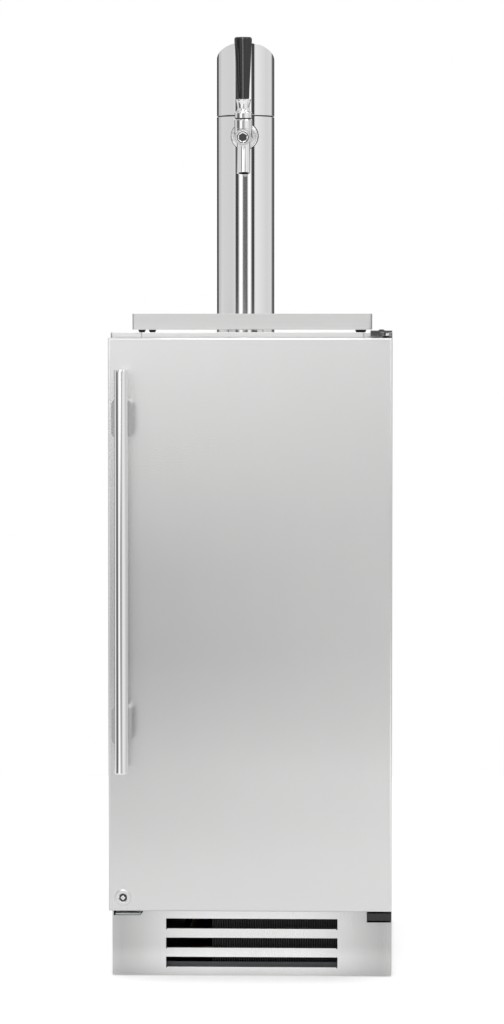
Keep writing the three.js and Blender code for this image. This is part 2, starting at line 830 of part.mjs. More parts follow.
unit.add(
  finnedBlock(
    'condenser',
    condenserX,
    [condenserY, condenserBackY],
    [condenserBottom, condenserTop],
    finPitch,
    colour.dark,
  ),
  condenserShroud(),
  fanMotor('condenser_fan_motor', condenserFanY, armY + motorLength, fanCentre),
  fan('condenser_fan', condenserFanRadius, condenserFanY, fanCentre),
  compressor(),
  dischargeLine(),
  suctionLine(),
);

// Evaporator housing on the room's back wall

const coverFrontY = roomBackY - gap - coverDepth;
const coverTop = roomCeiling - coverTopRoom;
const coverBottom = humpTop + coverBottomRoom;
const coolFanCentre = [0, coverTop - coverFanDrop];
const coolFanY = coverFrontY + sheet + fanTipGap;
const knobCentre = [coverWidth / 2 - knobInset, coverTop - knobInset];

function evaporatorCover() {
  const half = coverWidth / 2;
  const outside = block([-half, half], [coverFrontY, roomBackY - gap], [coverBottom, coverTop]);
  const inside = block(
    [-half + sheet, half - sheet],
    [coverFrontY + sheet, roomBackY + overrun],
    [coverBottom + sheet, coverTop - sheet],
  );
  const through = [coverFrontY - overrun, coverFrontY + sheet + overrun];
  const slot = (halfLength, height) =>
    block([-halfLength, halfLength], through, [height - louverHeight / 2, height + louverHeight / 2]);
  const rows = Math.floor((coverFanRadius - louverHeight) / louverPitch);
  const louvers = Array.from({ length: 2 * rows + 1 }, (_, i) => {
    const rise = (i - rows) * louverPitch;
    return slot(Math.sqrt(coverFanRadius ** 2 - rise ** 2), coolFanCentre[1] + rise);
  });
  const intakes = Array.from({ length: intakeRows }, (_, i) =>
    slot(intakeWidth / 2, coverBottom + (i + 2) * louverPitch),
  );
  const stubSpan = [coverFrontY - knobLength / 2, coverFrontY + sheet];
  const stub = rod('y', knobShaftRadius, stubSpan, knobCentre, tinySides);
  const shell = cut(outside, [inside, ...louvers, ...intakes, suctionHole(gap)]);
  return piece('evaporator_cover', join([shell, stub]), colour.stainless);
}

function thermostatKnob() {
  const [x, z] = knobCentre;
  const rearY = coverFrontY - gap;
  const disc = rod('y', knobRadius, [rearY - knobLength + knobGrip, rearY], knobCentre, roundSides);
  const grip = block(
    [x - knobGrip, x + knobGrip],
    [rearY - knobLength, rearY - knobLength / 2],
    [z - knobRadius + knobGrip, z + knobRadius - knobGrip],
  );
  const boreFrontY = coverFrontY - knobLength / 2 - gap;
  const bore = rod('y', knobShaftRadius + gap, [boreFrontY, rearY + overrun], knobCentre, tinySides);
  return piece('thermostat_knob', cut(join([disc, grip]), [bore]), colour.black);
}

unit.add(
  finnedBlock(
    'evaporator_coil',
    [-coilWidth / 2, coilWidth / 2],
    [coilY, coilY + coilDepth],
    [coilBottom, coilBottom + coilHeight],
    coilFinPitch,
    colour.fin,
  ),
  evaporatorCover(),
  fanMotor('evaporator_fan_motor', coolFanY, roomBackY - gap, coolFanCentre),
  fan('evaporator_fan', evaporatorFanRadius, coolFanY, coolFanCentre),
  thermostatKnob(),
);

// Door: a stainless pan, foam core and inner panel, with its gasket, handle and lock

const bushingRadius = pinRadius + gap + bushingWall;
const barY = doorFrontY - handleStandOff;
const standoffHeights = [barCentreHeight + standoffSpacing / 2, barCentreHeight - standoffSpacing / 2];
const camY = doorFrontY + lockBarrelDepth + runningGap;
const camSpanY = [camY - runningGap, camY + camThickness + runningGap];

// Everything that enters the door, with clearance round it.
function doorHoles() {
  const bushingHole = (span) => rod('z', bushingRadius + gap, span, [pinX, pinY], smallSides);
  const studSpan = [doorFrontY - overrun, doorFrontY + studDepth + gap];
  const studHole = (height) => rod('y', studRadius + gap, studSpan, [barX, height], smallSides);
  return [
    bushingHole([doorTop - bushingDepth - gap, doorTop + overrun]),
    bushingHole([doorBottom - overrun, doorBottom + bushingDepth + gap]),
    rod('y', lockBarrelRadius + gap, [doorFrontY - overrun, camY], [lockX, lockHeight], roundSides),
    block(
      [lockX - plugRadius - runningGap, lockX + camReach + runningGap],
      camSpanY,
      [doorBottom - overrun, lockHeight + plugRadius + runningGap],
    ),
    ...standoffHeights.map(studHole),
  ];
}

function doorSkin() {
  const outline = new THREE.Shape([
    new THREE.Vector2(-halfWidth, doorBottom),
    new THREE.Vector2(halfWidth, doorBottom),
    new THREE.Vector2(halfWidth, doorTop),
    new THREE.Vector2(-halfWidth, doorTop),
  ]);
  const bent = new THREE.ExtrudeGeometry(outline, {
    depth: doorThickness,
    bevelEnabled: true,
    bevelSize: bendRadius,
    bevelThickness: bendRadius,
    bevelOffset: -bendRadius,
    bevelSegments: 3,
  });
  bent.rotateX(Math.PI / 2).translate(0, doorFrontY + doorThickness + bendRadius, 0);
  const kept = block(
    [-halfWidth - overrun, halfWidth + overrun],
    [doorFrontY - overrun, doorBackY],
    [doorBottom - overrun, doorTop + overrun],
  );
  const inside = block(
    [-halfWidth + sheet, halfWidth - sheet],
    [doorFrontY + sheet, doorBackY + overrun],
    [doorBottom + sheet, doorTop - sheet],
  );
  const pan = toSolid(bent).intersect(kept);
  return piece('door_skin', cut(pan, [inside, ...doorHoles()]), colour.stainless);
}

const panelSpanZ = [doorBottom + sheet + gap, doorTop - sheet - gap];

// The raised middle of the inner panel, drawn in by `shrink` on each side.
function plateau(frontY, rise, shrink) {
  const half = roomHalf - plateauMargin - shrink;
  const spanZ = [roomFloor + plateauMargin + shrink, roomCeiling - plateauMargin - shrink];
  const outline = roundedOutline([-half, half], spanZ, plateauCorner - shrink);
  return plateAlongY(outline, [frontY, doorBackY + rise]);
}

function doorInnerPanel() {
  const plate = block([-innerHalf, innerHalf], [doorBackY - panelSheet, doorBackY], panelSpanZ);
  const raised = plateau(doorBackY - panelSheet, plateauHeight, 0);
  const hollow = plateau(doorBackY - panelSheet - overrun, plateauHeight - panelSheet, panelSheet);
  return piece('door_inner_panel', cut(join([plate, raised]), [hollow]), colour.stainless);
}

function doorFoam() {
  const rearY = doorBackY - panelSheet - gap;
  const core = block([-innerHalf, innerHalf], [doorFrontY + sheet + gap, rearY], panelSpanZ);
  const filled = plateau(rearY - overrun, plateauHeight - panelSheet - gap, panelSheet + gap);
  return piece('door_foam', cut(join([core, filled]), doorHoles()), colour.foam);
}

function doorGasket() {
  const ring = (inset, span) => {
    const half = halfWidth - inset;
    return block([-half, half], span, [doorBottom + inset, doorTop - inset]);
  };
  const span = [doorBackY + gap, doorBackY + gap + gasketThickness];
  const hole = ring(gasketInset + gasketWidth, [span[0] - overrun, span[1] + overrun]);
  return piece('door_gasket', cut(ring(gasketInset, span), [hole]), colour.gasket);
}

function pullBar() {
  const radius = barDiameter / 2;
  const low = barCentreHeight - barLength / 2;
  const high = barCentreHeight + barLength / 2;
  const cornerArc = (height, from, to) =>
    profileArc(barEndRound, height, from, to, 3).map(([r, z]) => [r + radius - barEndRound, z]);
  const profile = [
    [0, low],
    ...cornerArc(low + barEndRound, -Math.PI / 2, 0),
    ...cornerArc(high - barEndRound, 0, Math.PI / 2),
    [0, high],
  ];
  return piece('pull_bar', turned(profile, roundSides, [barX, barY]), colour.polished);
}

function handleStandoff(name, height) {
  const [halfX, halfZ] = [standoffWidth / 2, standoffHeight / 2];
  const heights = [height - halfZ, height + halfZ];
  const outline = roundedOutline([barX - halfX, barX + halfX], heights, standoffCorner);
  const frontY = barY + barDiameter / 2 - standoffWrap;
  const pad = plateAlongY(outline, [frontY, doorFrontY - gap], 5);
  const studSpan = [doorFrontY - standoffWrap, doorFrontY + studDepth];
  const stud = rod('y', studRadius, studSpan, [barX, height], smallSides);
  const seatSpan = [height - standoffHeight, height + standoffHeight];
  const seat = rod('z', barDiameter / 2 + gap, seatSpan, [barX, barY], roundSides);
  return piece(name, cut(join([pad, stud]), [seat]), colour.polished);
}

function lockHousing() {
  const centre = [lockX, lockHeight];
  const faceY = doorFrontY - gap - bezelThickness;
  const bezel = rod('y', bezelRadius, [faceY, doorFrontY - gap], centre, roundSides);
  const barrel = rod('y', lockBarrelRadius, [faceY, doorFrontY + lockBarrelDepth], centre, roundSides);
  const bore = rod('y', plugRadius + gap, [doorFrontY - overrun, camY + overrun], centre, smallSides);
  return piece('lock_housing', cut(join([bezel, barrel]), [bore]), colour.polished);
}

function lockPlug() {
  const faceY = doorFrontY - gap - bezelThickness + plugFlangeStep;
  const plug = rod('y', plugRadius, [faceY, camY + camThickness], [lockX, lockHeight], smallSides);
  const cam = block(
    [lockX, lockX + camReach],
    [camY, camY + camThickness],
    [lockHeight - camWidth / 2, lockHeight + camWidth / 2],
  );
  const keySlot = block(
    [lockX - keySlotWidth / 2, lockX + keySlotWidth / 2],
    [faceY - overrun, faceY + keySlotDepth],
    [lockHeight - keySlotHeight / 2, lockHeight + keySlotHeight / 2],
  );
  return piece('lock_plug', cut(join([plug, cam]), [keySlot]), colour.brass);
}

// The cam turns down into this forked plate, which hangs from the cabinet in front of the grille's notch.
function lockStrike() {
  const left = -halfWidth + strikeLeftInset;
  const spanX = [left, left + strikeWidth];
  const rearY = behind(lowerHingeReach);
  const plate = block(spanX, [behind(strikeFront), rearY], [strikeTop - strikeThickness, strikeTop]);
  const riserHeights = [strikeTop - strikeThickness, insulationBottom - gap];
  const riser = block(spanX, [toeBackY + gap, rearY], riserHeights);
  const fork = block(
    [lockX - camWidth / 2 - runningGap, lockX + camReach],
    camSpanY,
    [strikeTop - strikeThickness - overrun, strikeTop + overrun],
  );
  return piece('lock_strike', cut(join([plate, riser]), [fork]), colour.galvanised);
}

unit.add(doorSkin(), doorFoam(), doorInnerPanel(), doorGasket(), pullBar());
unit.add(handleStandoff('handle_standoff_upper', standoffHeights[0]));
unit.add(handleStandoff('handle_standoff_lower', standoffHeights[1]));
unit.add(lockHousing(), lockPlug(), lockStrike());

// Door hinges: a plate with a riveted pin above and below the door, each in a nylon bushing

function hingeBushing(name, seatHeight, up) {
  const bore = pinRadius + gap;
  const place = (distance) => seatHeight + up * distance;
  const profile = [
    [bore, place(-bushingDepth)],
    [bushingRadius, place(-bushingDepth)],
    [bushingRadius, place(gap)],
    [bushingRadius + bushingFlangeWidth, place(gap)],
    [bushingRadius + bushingFlangeWidth, place(gap + bushingFlange)],
    [bore, place(gap + bushingFlange)],
    [bore, place(-bushingDepth)],
  ];
  if (up < 0) profile.reverse();
  return piece(name, turned(profile, smallSides, [pinX, pinY]), colour.black);
}

function upperHingeBracket() {
  const right = halfWidth - gap;
  const left = right - hingeWidth;
  const low = cabinetTop + gap;
  const frontY = behind(hingeSetback);
  const rearY = caseFrontY + hingeReach;
  const plate = block([left, right], [frontY, rearY], [low, low + hingePlate]);
  const arm = block(
    [left, left + hingeArmWidth],
    [frontY + hingePlate, caseFrontY - gap],
    [low - hingeArmDepth, low + hingePlate / 2],
  );
  const pinSpan = [doorTop - bushingDepth + gap, low + hingePlate / 2];
  const pin = rod('z', pinRadius, pinSpan, [pinX, pinY], smallSides);
  const collarFoot = doorTop + gap + bushingFlange + gap;
  const collar = rod('z', pinCollarRadius, [collarFoot, low + hingePlate / 2], [pinX, pinY], smallSides);
  const screwX = (left + right) / 2;
  const screws = [1, 3].map((quarter) =>
    turned(
      [
        [0, low + hingePlate / 2],
        [hingeScrewRadius, low + hingePlate / 2],
        [hingeScrewRadius, low + hingePlate + hingeScrewHeight / 2],
        [hingeScrewRadius / 2, low + hingePlate + hingeScrewHeight],
        [0, low + hingePlate + hingeScrewHeight],
      ],
      smallSides,
      [screwX, caseFrontY + (hingeReach * quarter) / 4],
    ),
  );
  return piece('upper_hinge_bracket', join([plate, arm, pin, collar, ...screws]), colour.dark);
}

function lowerHingeBracket() {
  const left = halfWidth - gap - lowerHingeWidth;
  const low = lowerHingeTop - lowerHingeHeight;
  const stepY = caseFrontY - gap;
  const front = block([left, halfWidth - gap], [behind(hingeSetback), stepY], [low, lowerHingeTop]);
  const rearY = behind(lowerHingeReach);
  const rear = block([left, innerHalf - gap], [stepY - hingePlate, rearY], [low, lowerHingeTop]);
  const pad = [toeBackY + gap, rearY];
  const riser = block([left, innerHalf - gap], pad, [low, insulationBottom - gap]);
  const pinSpan = [lowerHingeTop - hingePlate, doorBottom + bushingDepth - gap];
  const pin = rod('z', pinRadius, pinSpan, [pinX, pinY], smallSides);
  return piece('lower_hinge_bracket', join([front, rear, riser, pin]), colour.black);
}

unit.add(upperHingeBracket(), hingeBushing('upper_hinge_bushing', doorTop, 1));
unit.add(lowerHingeBracket(), hingeBushing('lower_hinge_bushing', doorBottom, -1));

// Tower

const towerInner = towerRadius - towerWall;
const towerFoot = cabinetTop + gap;
const tapGroup = new THREE.Group();
tapGroup.position.set(towerX, towerY - towerRadius, shankHeight);
tapGroup.rotation.x = tapTilt;
tapGroup.updateMatrix();

function towerTube() {
  const profile = [
    [towerInner, towerFoot],
    [towerRadius, towerFoot],
    [towerRadius, seamHeight - edgeRound],
    [towerRadius - edgeRound, seamHeight],
    [towerInner, seamHeight],
    [towerInner, towerFoot],
  ];
  const tube = turned(profile, fineSides, [towerX, towerY]);
  const hole = rodGeometry('y', shankRadius + gap, [-overrun, towerRadius], [0, 0], roundSides);
  hole.applyMatrix4(tapGroup.matrix);
  return piece('tower_tube', cut(tube, [toSolid(hole)]), colour.polished);
}

// Everything above the slanted top, lowered by `drop`.
function aboveSlant(drop) {
  const size = seamHeight;
  const geometry = new THREE.BoxGeometry(size, size, size);
  geometry.translate(0, size / 2 - overrun, size / 2).rotateX(-capSlant);
  return toSolid(geometry.translate(towerX, towerY - towerRadius, capTop - drop));
}

function towerCap() {
  const foot = seamHeight + seamWidth;
  const centre = [towerX, towerY];
  const outside = rod('z', towerRadius, [foot, capTop + overrun], centre, fineSides);
  const inside = rod('z', towerInner, [foot + spigotWall, capTop + overrun], centre, fineSides);
  const cavity = cut(inside, [aboveSlant(towerWall / Math.cos(capSlant))]);
  const spigotRadius = towerInner - gap;
  const spigotFoot = seamHeight - spigotDepth;
  const spigot = rod('z', spigotRadius, [spigotFoot, foot + spigotWall / 2], centre, fineSides);
  const boreSpan = [spigotFoot - overrun, foot + spigotDepth];
  const bore = rod('z', spigotRadius - spigotWall, boreSpan, centre, fineSides);
  const shell = cut(outside, [aboveSlant(0), cavity]);
  return piece('tower_cap', cut(join([shell, spigot]), [bore]), colour.polished);
}

function towerBaseRing() {
  const outer = towerInner - gap;
  const profile = [
    [passageRadius, towerFoot],
    [outer, towerFoot],
    [outer, towerFoot + baseRingHeight],
    [passageRadius, towerFoot + baseRingHeight],
    [passageRadius, towerFoot],
  ];
  return piece('tower_base_ring', turned(profile, roundSides, [towerX, towerY]), colour.dark);
}

unit.add(towerTube(), towerCap(), towerBaseRing());

// Tap, in the frame of its shank: the origin is on the tower's front and the tap points to -Y

const forward = (distance) => -distance;

function pivotSphere(radius) {
  const geometry = new THREE.SphereGeometry(radius, tapSides, smallSides);
  return toSolid(geometry.rotateX(Math.PI / 2).translate(0, forward(neckPlace), pivotHeight));
}

function shank() {
  const rear = -shankRear;
  const profile = [
    [shankBore, rear - tailLength],
    [tailRadius, rear - tailLength],
    [tailRadius, rear],
    [shankRadius, rear],
    [shankRadius, shankFront],
    [shankBore, shankFront],
    [shankBore, rear - tailLength],
  ];
  return piece('shank', turnedForward(profile, tapSides), colour.brass);
}

function shankNut() {
  const curve = towerRadius - Math.sqrt(towerInner ** 2 - nutRadius ** 2);
  const seat = curve + nutRadius * Math.tan(tapTilt) + gap;
  const hex = rod('y', nutRadius, [seat, seat + nutThickness], [0, 0], 6);
  const boreSpan = [seat - overrun, seat + nutThickness + overrun];
  const bore = rod('y', shankRadius + gap, boreSpan, [0, 0], tapSides);
  return piece('shank_nut', cut(hex, [bore]), colour.brass);
}

function shankFlange() {
  const disc = rod('y', flangeRadius, [forward(flangeFront), towerRadius / 2], [0, 0], tapSides);
  const boreSpan = [forward(flangeFront + overrun), towerRadius];
  const bore = rod('y', shankRadius + gap, boreSpan, [0, 0], tapSides);
  const span = [shankHeight - towerRadius, shankHeight + towerRadius];
  const column = rodGeometry('z', towerRadius + gap, span, [towerX, towerY], fineSides);
  column.applyMatrix4(tapGroup.matrix.clone().invert());
  return piece('shank_flange', cut(disc, [bore, toSolid(column)]), colour.polished);
}

function couplingNut() {
  const rear = flangeFront + gap;
  const bore = shankRadius + gap;
  const profile = [
    [bore, rear],
    [couplingRadius - edgeRound, rear],
    [couplingRadius, rear + edgeRound],
    [couplingRadius, couplingFront - edgeRound],
    [couplingRadius - edgeRound, couplingFront],
    [bore, couplingFront],
    [bore, rear],
  ];
  const notches = Array.from({ length: couplingNotches }, (_, i) => {
    const length = couplingFront - rear - edgeRound * 2;
    const slot = new THREE.BoxGeometry(couplingNotchWidth, length, couplingNotchDepth * 2);
    slot.translate(0, forward((rear + couplingFront) / 2), couplingRadius);
    return toSolid(slot.rotateY(((2 * i + 1) * Math.PI) / couplingNotches));
  });
  return piece('coupling_nut', cut(turnedForward(profile, tapSides), notches), colour.polished);
}

function faucetBody() {
  const tailRear = shankFront + gap;
  const barrelRear = couplingFront + gap;
  const barrel = rod('y', barrelRadius, [forward(barrelFront), forward(barrelRear)], [0, 0], tapSides);
  const tailSpan = [forward(barrelRear + edgeRound), forward(tailRear)];
  const tail = rod('y', shankRadius, tailSpan, [0, 0], tapSides);
  const neck = rod('z', neckRadius, [0, neckTop], [0, forward(neckPlace)], tapSides);
  const spoutRod = (radius, extra, sides) => {
    const geometry = rodGeometry('z', radius, [-spoutLength - extra, 0], [0, 0], sides);
    return toSolid(geometry.rotateX(-spoutTilt).translate(0, forward(spoutPlace), 0));
  };
  const casting = join([barrel, tail, neck, spoutRod(spoutRadius, 0, tapSides)]);
  const bores = [
    [counterboreRadius, seatPlace, tailRear - overrun],
    [seatBore, seatPlace + seatThickness + edgeRound, seatPlace - edgeRound],
    [chamberRadius, chamberFront, seatPlace + seatThickness],
    [faucetShaftRadius + gap, barrelFront + overrun, chamberFront - edgeRound],
  ].map(([radius, from, to]) => rod('y', radius, [forward(from), forward(to)], [0, 0], tapSides));
  const half = lowerStemRadius + runningGap;
  const swept = sweptFan(half, pivotHeight, leverSwing);
  const slotOutline = swept.map(([y, z]) => [forward(neckPlace) - y, pivotHeight - z]);
  const stemSlot = plateAlongX(slotOutline, [-half, half]);
  const outlet = spoutRod(spoutRadius - spoutWall, overrun, tapSides);
  const cup = pivotSphere(ballRadius + gap);
  return piece('faucet_body', cut(casting, [...bores, outlet, cup, stemSlot]), colour.polished);
}

function faucetFrontCap() {
  const rear = barrelFront + gap;
  const front = rear + frontCapLength;
  const profile = [
    [0, rear],
    [frontCapRadius, rear],
    [frontCapRadius, front - edgeRound],
    [frontCapRadius - edgeRound, front],
    [0, front],
  ];
  const recess = rod('y', hexRadius, [forward(front + overrun), forward(front - hexDepth)], [0, 0], 6);
  return piece('faucet_front_cap', cut(turnedForward(profile, tapSides), [recess]), colour.polished);
}

function faucetBonnet() {
  const centre = [0, forward(neckPlace)];
  const span = [neckTop + gap, pivotHeight + domeRadius + overrun];
  const round = rod('z', neckRadius, span, centre, tapSides);
  const half = stemRadius + runningGap;
  const swept = sweptFan(half, domeRadius + overrun, leverSwing);
  const slotOutline = swept.map(([y, z]) => [forward(neckPlace) + y, pivotHeight + z]);
  const slot = plateAlongX(slotOutline, [-half, half]);
  const dome = round.intersect(pivotSphere(domeRadius));
  return piece('faucet_bonnet', cut(dome, [pivotSphere(ballRadius + gap), slot]), colour.polished);
}

// One turned piece from the ball in the faucet shaft, through the pivot ball, to the handle's stud.
function tapLever() {
  const lowerNeck = Math.acos(lowerStemRadius / lowerBallRadius);
  const ballFoot = -Math.acos(lowerStemRadius / ballRadius);
  const ballHead = Math.acos(stemRadius / ballRadius);
  const hollow = domeRadius + gap;
  const profile = [
    [0, -lowerBallRadius],
    ...profileArc(lowerBallRadius, 0, -Math.PI / 2, lowerNeck, 5).slice(1),
    ...profileArc(ballRadius, pivotHeight, ballFoot, ballHead, 8),
    ...profileArc(hollow, pivotHeight, ...[stemRadius, collarRadius].map((r) => Math.acos(r / hollow)), 5),
    [collarRadius, collarTop - edgeRound],
    [collarRadius - edgeRound, collarTop],
    [leverNeckRadius + edgeRound, collarTop + edgeRound],
    [leverNeckRadius, leverNeckHeight],
    [(leverNeckRadius + ferruleRadius) / 2, (leverNeckHeight + ferruleTop) / 2],
    [ferruleRadius, ferruleTop - edgeRound],
    [ferruleRadius, ferruleTop],
    [handleStudRadius, ferruleTop],
    [handleStudRadius, ferruleTop + handleStudLength],
    [0, ferruleTop + handleStudLength],
  ];
  return piece('tap_lever', turned(profile, tapSides, [0, forward(neckPlace)]), colour.polished);
}

function tapHandle() {
  const foot = ferruleTop + gap;
  const profile = [
    [0, foot],
    [handleFoot, foot],
    [handleHead, handleTop - handleHeadLength],
    [handleHead, handleTop - handleShoulder],
    [handleHead - edgeRound, handleTop - edgeRound],
    [handleHead / 2, handleTop],
    [0, handleTop],
  ];
  const body = turned(profile, tapSides, [0, forward(neckPlace)]);
  const bore = rod(
    'z',
    handleStudRadius + gap,
    [foot - overrun, ferruleTop + handleStudLength + gap],
    [0, forward(neckPlace)],
    smallSides,
  );
  return piece('tap_handle', cut(body, [bore]), colour.black);
}

function faucetShaft() {
  const seatFace = seatPlace - gap;
  const stemSpan = [forward(barrelFront - shaftFrontRoom), forward(seatFace - gap)];
  const stem = rod('y', faucetShaftRadius, stemSpan, [0, 0], smallSides);
  const valveSpan = [forward(seatFace), forward(seatFace - valveThickness)];
  const valve = rod('y', valveRadius, valveSpan, [0, 0], tapSides);
  const lean = faucetShaftRadius * Math.tan(leverSwing) + lowerStemRadius / Math.cos(leverSwing);
  const half = lowerBallRadius + runningGap;
  const slot = block(
    [-half, half],
    [forward(neckPlace + lean + runningGap), forward(neckPlace - half)],
    [-faucetShaftRadius - overrun, faucetShaftRadius + overrun],
  );
  return piece('faucet_shaft', cut(join([stem, valve]), [slot]), colour.dark);
}

tapGroup.add(shank(), shankNut(), shankFlange(), couplingNut());
tapGroup.add(faucetBody(), faucetFrontCap(), faucetBonnet(), faucetShaft());
tapGroup.add(tapLever(), tapHandle());
unit.add(tapGroup);

// Drip tray

const trayTop = trayBottom + trayHeight;

function dripTray() {
  const outline = (inset) => {
    const half = trayHalf - inset;
    return roundedOutline([-half, half], [trayFrontY + inset, trayBackY - inset], trayCorner - inset);
  };
  const outside = plateAlongZ(outline(0), [trayBottom, trayTop]);
  const inside = plateAlongZ(outline(sheet), [trayBottom + sheet, trayTop + overrun]);
  return piece('drip_tray', cut(outside, [inside]), colour.stainless);
}

function dripGrille() {
  const inset = sheet + runningGap;
  const half = trayHalf - inset;
  const [frontY, rearY] = [trayFrontY + inset, trayBackY - inset];
  const top = trayTop - grilleDrop;
  const outline = roundedOutline([-half, half], [frontY, rearY], trayCorner - sheet);
  const plate = plateAlongZ(outline, [top - grilleThickness, top]);
  const rows = Math.floor((rearY - frontY - 2 * grilleBorder) / grilleSlotPitch);
  const firstY = (frontY + rearY - (rows - 1) * grilleSlotPitch) / 2;
  const columnPitch = (2 * half - grilleBorder) / grilleColumns;
  const slots = [];
  for (let column = 0; column < grilleColumns; column += 1) {
    const x = (column - (grilleColumns - 1) / 2) * columnPitch;
    for (let row = 0; row < rows; row += 1) {
      const y = firstY + row * grilleSlotPitch;
      slots.push(
        block(
          [x - grilleSlotLength / 2, x + grilleSlotLength / 2],
          [y - grilleSlotWidth / 2, y + grilleSlotWidth / 2],
          [top - grilleThickness - overrun, top + overrun],
        ),
      );
    }
  }
  const skirts = [-1, 1].map((side) => {
    const outer = half - trayCorner;
    const edges = [side * outer, side * (outer - grilleThickness)].sort((a, b) => a - b);
    const heights = [trayBottom + sheet + gap, top - grilleThickness / 2];
    return block(edges, [frontY + grilleBorder, rearY - grilleBorder], heights);
  });
  return piece('drip_grille', join([cut(plate, slots), ...skirts]), colour.stainless);
}

function trayFoot(name, x, y) {
  const foot = cabinetTop + gap;
  const profile = [
    [0, foot],
    [footBottomRadius, foot],
    [footTopRadius, foot + footHeight],
    [0, foot + footHeight],
  ];
  return piece(name, turned(profile, smallSides, [x, y]), colour.rubber);
}

const frontFootX = trayHalf - frontFootInset;
const rearFootX = trayHalf - rearFootInset;
unit.add(
  dripTray(),
  dripGrille(),
  trayFoot('tray_foot_front_left', -frontFootX, trayFrontY + footInset),
  trayFoot('tray_foot_front_right', frontFootX, trayFrontY + footInset),
  trayFoot('tray_foot_rear_left', -rearFootX, trayBackY - footInset),
  trayFoot('tray_foot_rear_right', rearFootX, trayBackY - footInset),
);

export default unit;
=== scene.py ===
import bmesh
import bpy
import numpy as np
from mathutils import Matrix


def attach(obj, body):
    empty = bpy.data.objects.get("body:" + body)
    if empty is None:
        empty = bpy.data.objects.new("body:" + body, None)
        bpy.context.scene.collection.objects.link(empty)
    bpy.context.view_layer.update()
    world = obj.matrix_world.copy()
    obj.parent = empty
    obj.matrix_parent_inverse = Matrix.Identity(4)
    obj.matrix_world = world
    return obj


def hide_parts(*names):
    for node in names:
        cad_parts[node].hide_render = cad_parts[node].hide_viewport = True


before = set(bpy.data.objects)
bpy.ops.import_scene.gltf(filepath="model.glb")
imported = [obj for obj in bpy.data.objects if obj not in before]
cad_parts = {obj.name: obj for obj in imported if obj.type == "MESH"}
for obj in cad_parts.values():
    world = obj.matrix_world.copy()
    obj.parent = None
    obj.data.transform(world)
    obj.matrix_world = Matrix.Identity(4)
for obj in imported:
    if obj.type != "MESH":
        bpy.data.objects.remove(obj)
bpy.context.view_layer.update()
mm = 0.001

# Camera: far in front, level with the cabinet top and a little to the right, as in the photograph. It is
# turned towards the object instead of shifted, so that the object also stays in the middle of other views.
door_face, camera_distance, camera_right, camera_height = -275.475, 5500, 190.6, 870.4
degrees_down, degrees_left = 2.49, 1.956
camera = bpy.data.objects.new("studio_camera", bpy.data.cameras.new("studio_camera"))
bpy.context.scene.collection.objects.link(camera)
camera.location = (camera_right * mm, (door_face - camera_distance) * mm, camera_height * mm)
camera.rotation_euler = (np.radians(90 - degrees_down), 0, np.radians(degrees_left))
camera.data.lens = 145.745
camera.data.sensor_width = 36
camera.data.clip_end = 60
bpy.context.scene.camera = camera
bpy.context.scene.view_settings.view_transform = "Standard"

# Studio walls: polished steel needs something to mirror, so the surroundings hold bright cards and dark
# gaps at the height of the camera. Polished rounds above the cabinet mirror the upper row of cards, and
# the pull bar mirrors the lower row. A narrow card under the camera and a wide one over it light the flat
# door, and overhead the studio is pale with a darker ceiling ring.
world = bpy.data.worlds.new("studio_surroundings")
bpy.context.scene.world = world
world.use_nodes = True
studio = world.node_tree
studio.nodes.clear()
direction = studio.nodes.new("ShaderNodeSeparateXYZ")
studio.links.new(studio.nodes.new("ShaderNodeTexCoord").outputs["Generated"], direction.inputs[0])


def worked(tree, operation, *values):
    """The result of one Math node. Each value is a number or another node's output."""
    node = tree.nodes.new("ShaderNodeMath")
    node.operation = operation
    for socket, value in zip(node.inputs, values):
        if isinstance(value, (int, float)):
            socket.default_value = value
        else:
            tree.links.new(value, socket)
    return node.outputs[0]


def ramped(tree, value, stops):
    """A value turned into a grey or a colour by a Color Ramp with stops (place from 0 to 1, tone)."""
    node = tree.nodes.new("ShaderNodeValToRGB")
    elements = node.color_ramp.elements
    elements.remove(elements[1])
    for index, (place, tone) in enumerate(stops):
        element = elements[0] if index == 0 else elements.new(place)
        element.position = place
        element.color = (tone, tone, tone, 1) if isinstance(tone, (int, float)) else (*tone, 1)
    tree.links.new(value, node.inputs[0])
    return node.outputs[0]


def blended(tree, share, first, second):
    """First where the share is 0, second where it is 1."""
    node = tree.nodes.new("ShaderNodeMix")
    node.data_type = "RGBA"
    for label, value in (("Factor", share), ("A", first), ("B", second)):
        if isinstance(value, tuple):
            node.inputs[label].default_value = value
        else:
            tree.links.new(value, node.inputs[label])
    return node.outputs["Result"]


def eased(tree, value, low, high):
    """0 below low, 1 above high, and a smooth step between them."""
    node = tree.nodes.new("ShaderNodeMapRange")
    node.interpolation_type = "SMOOTHSTEP"
    node.inputs["From Min"].default_value = low
    node.inputs["From Max"].default_value = high
    tree.links.new(value, node.inputs["Value"])
    return node.outputs[0]


def inside(tree, value, low, high, soft):
    """1 between low and high, 0 outside, with soft ends of the given width inside the two limits."""
    rising = eased(tree, value, low, low + soft)
    falling = eased(tree, value, high - soft, high)
    return worked(tree, "MULTIPLY", rising, worked(tree, "SUBTRACT", 1.0, falling))


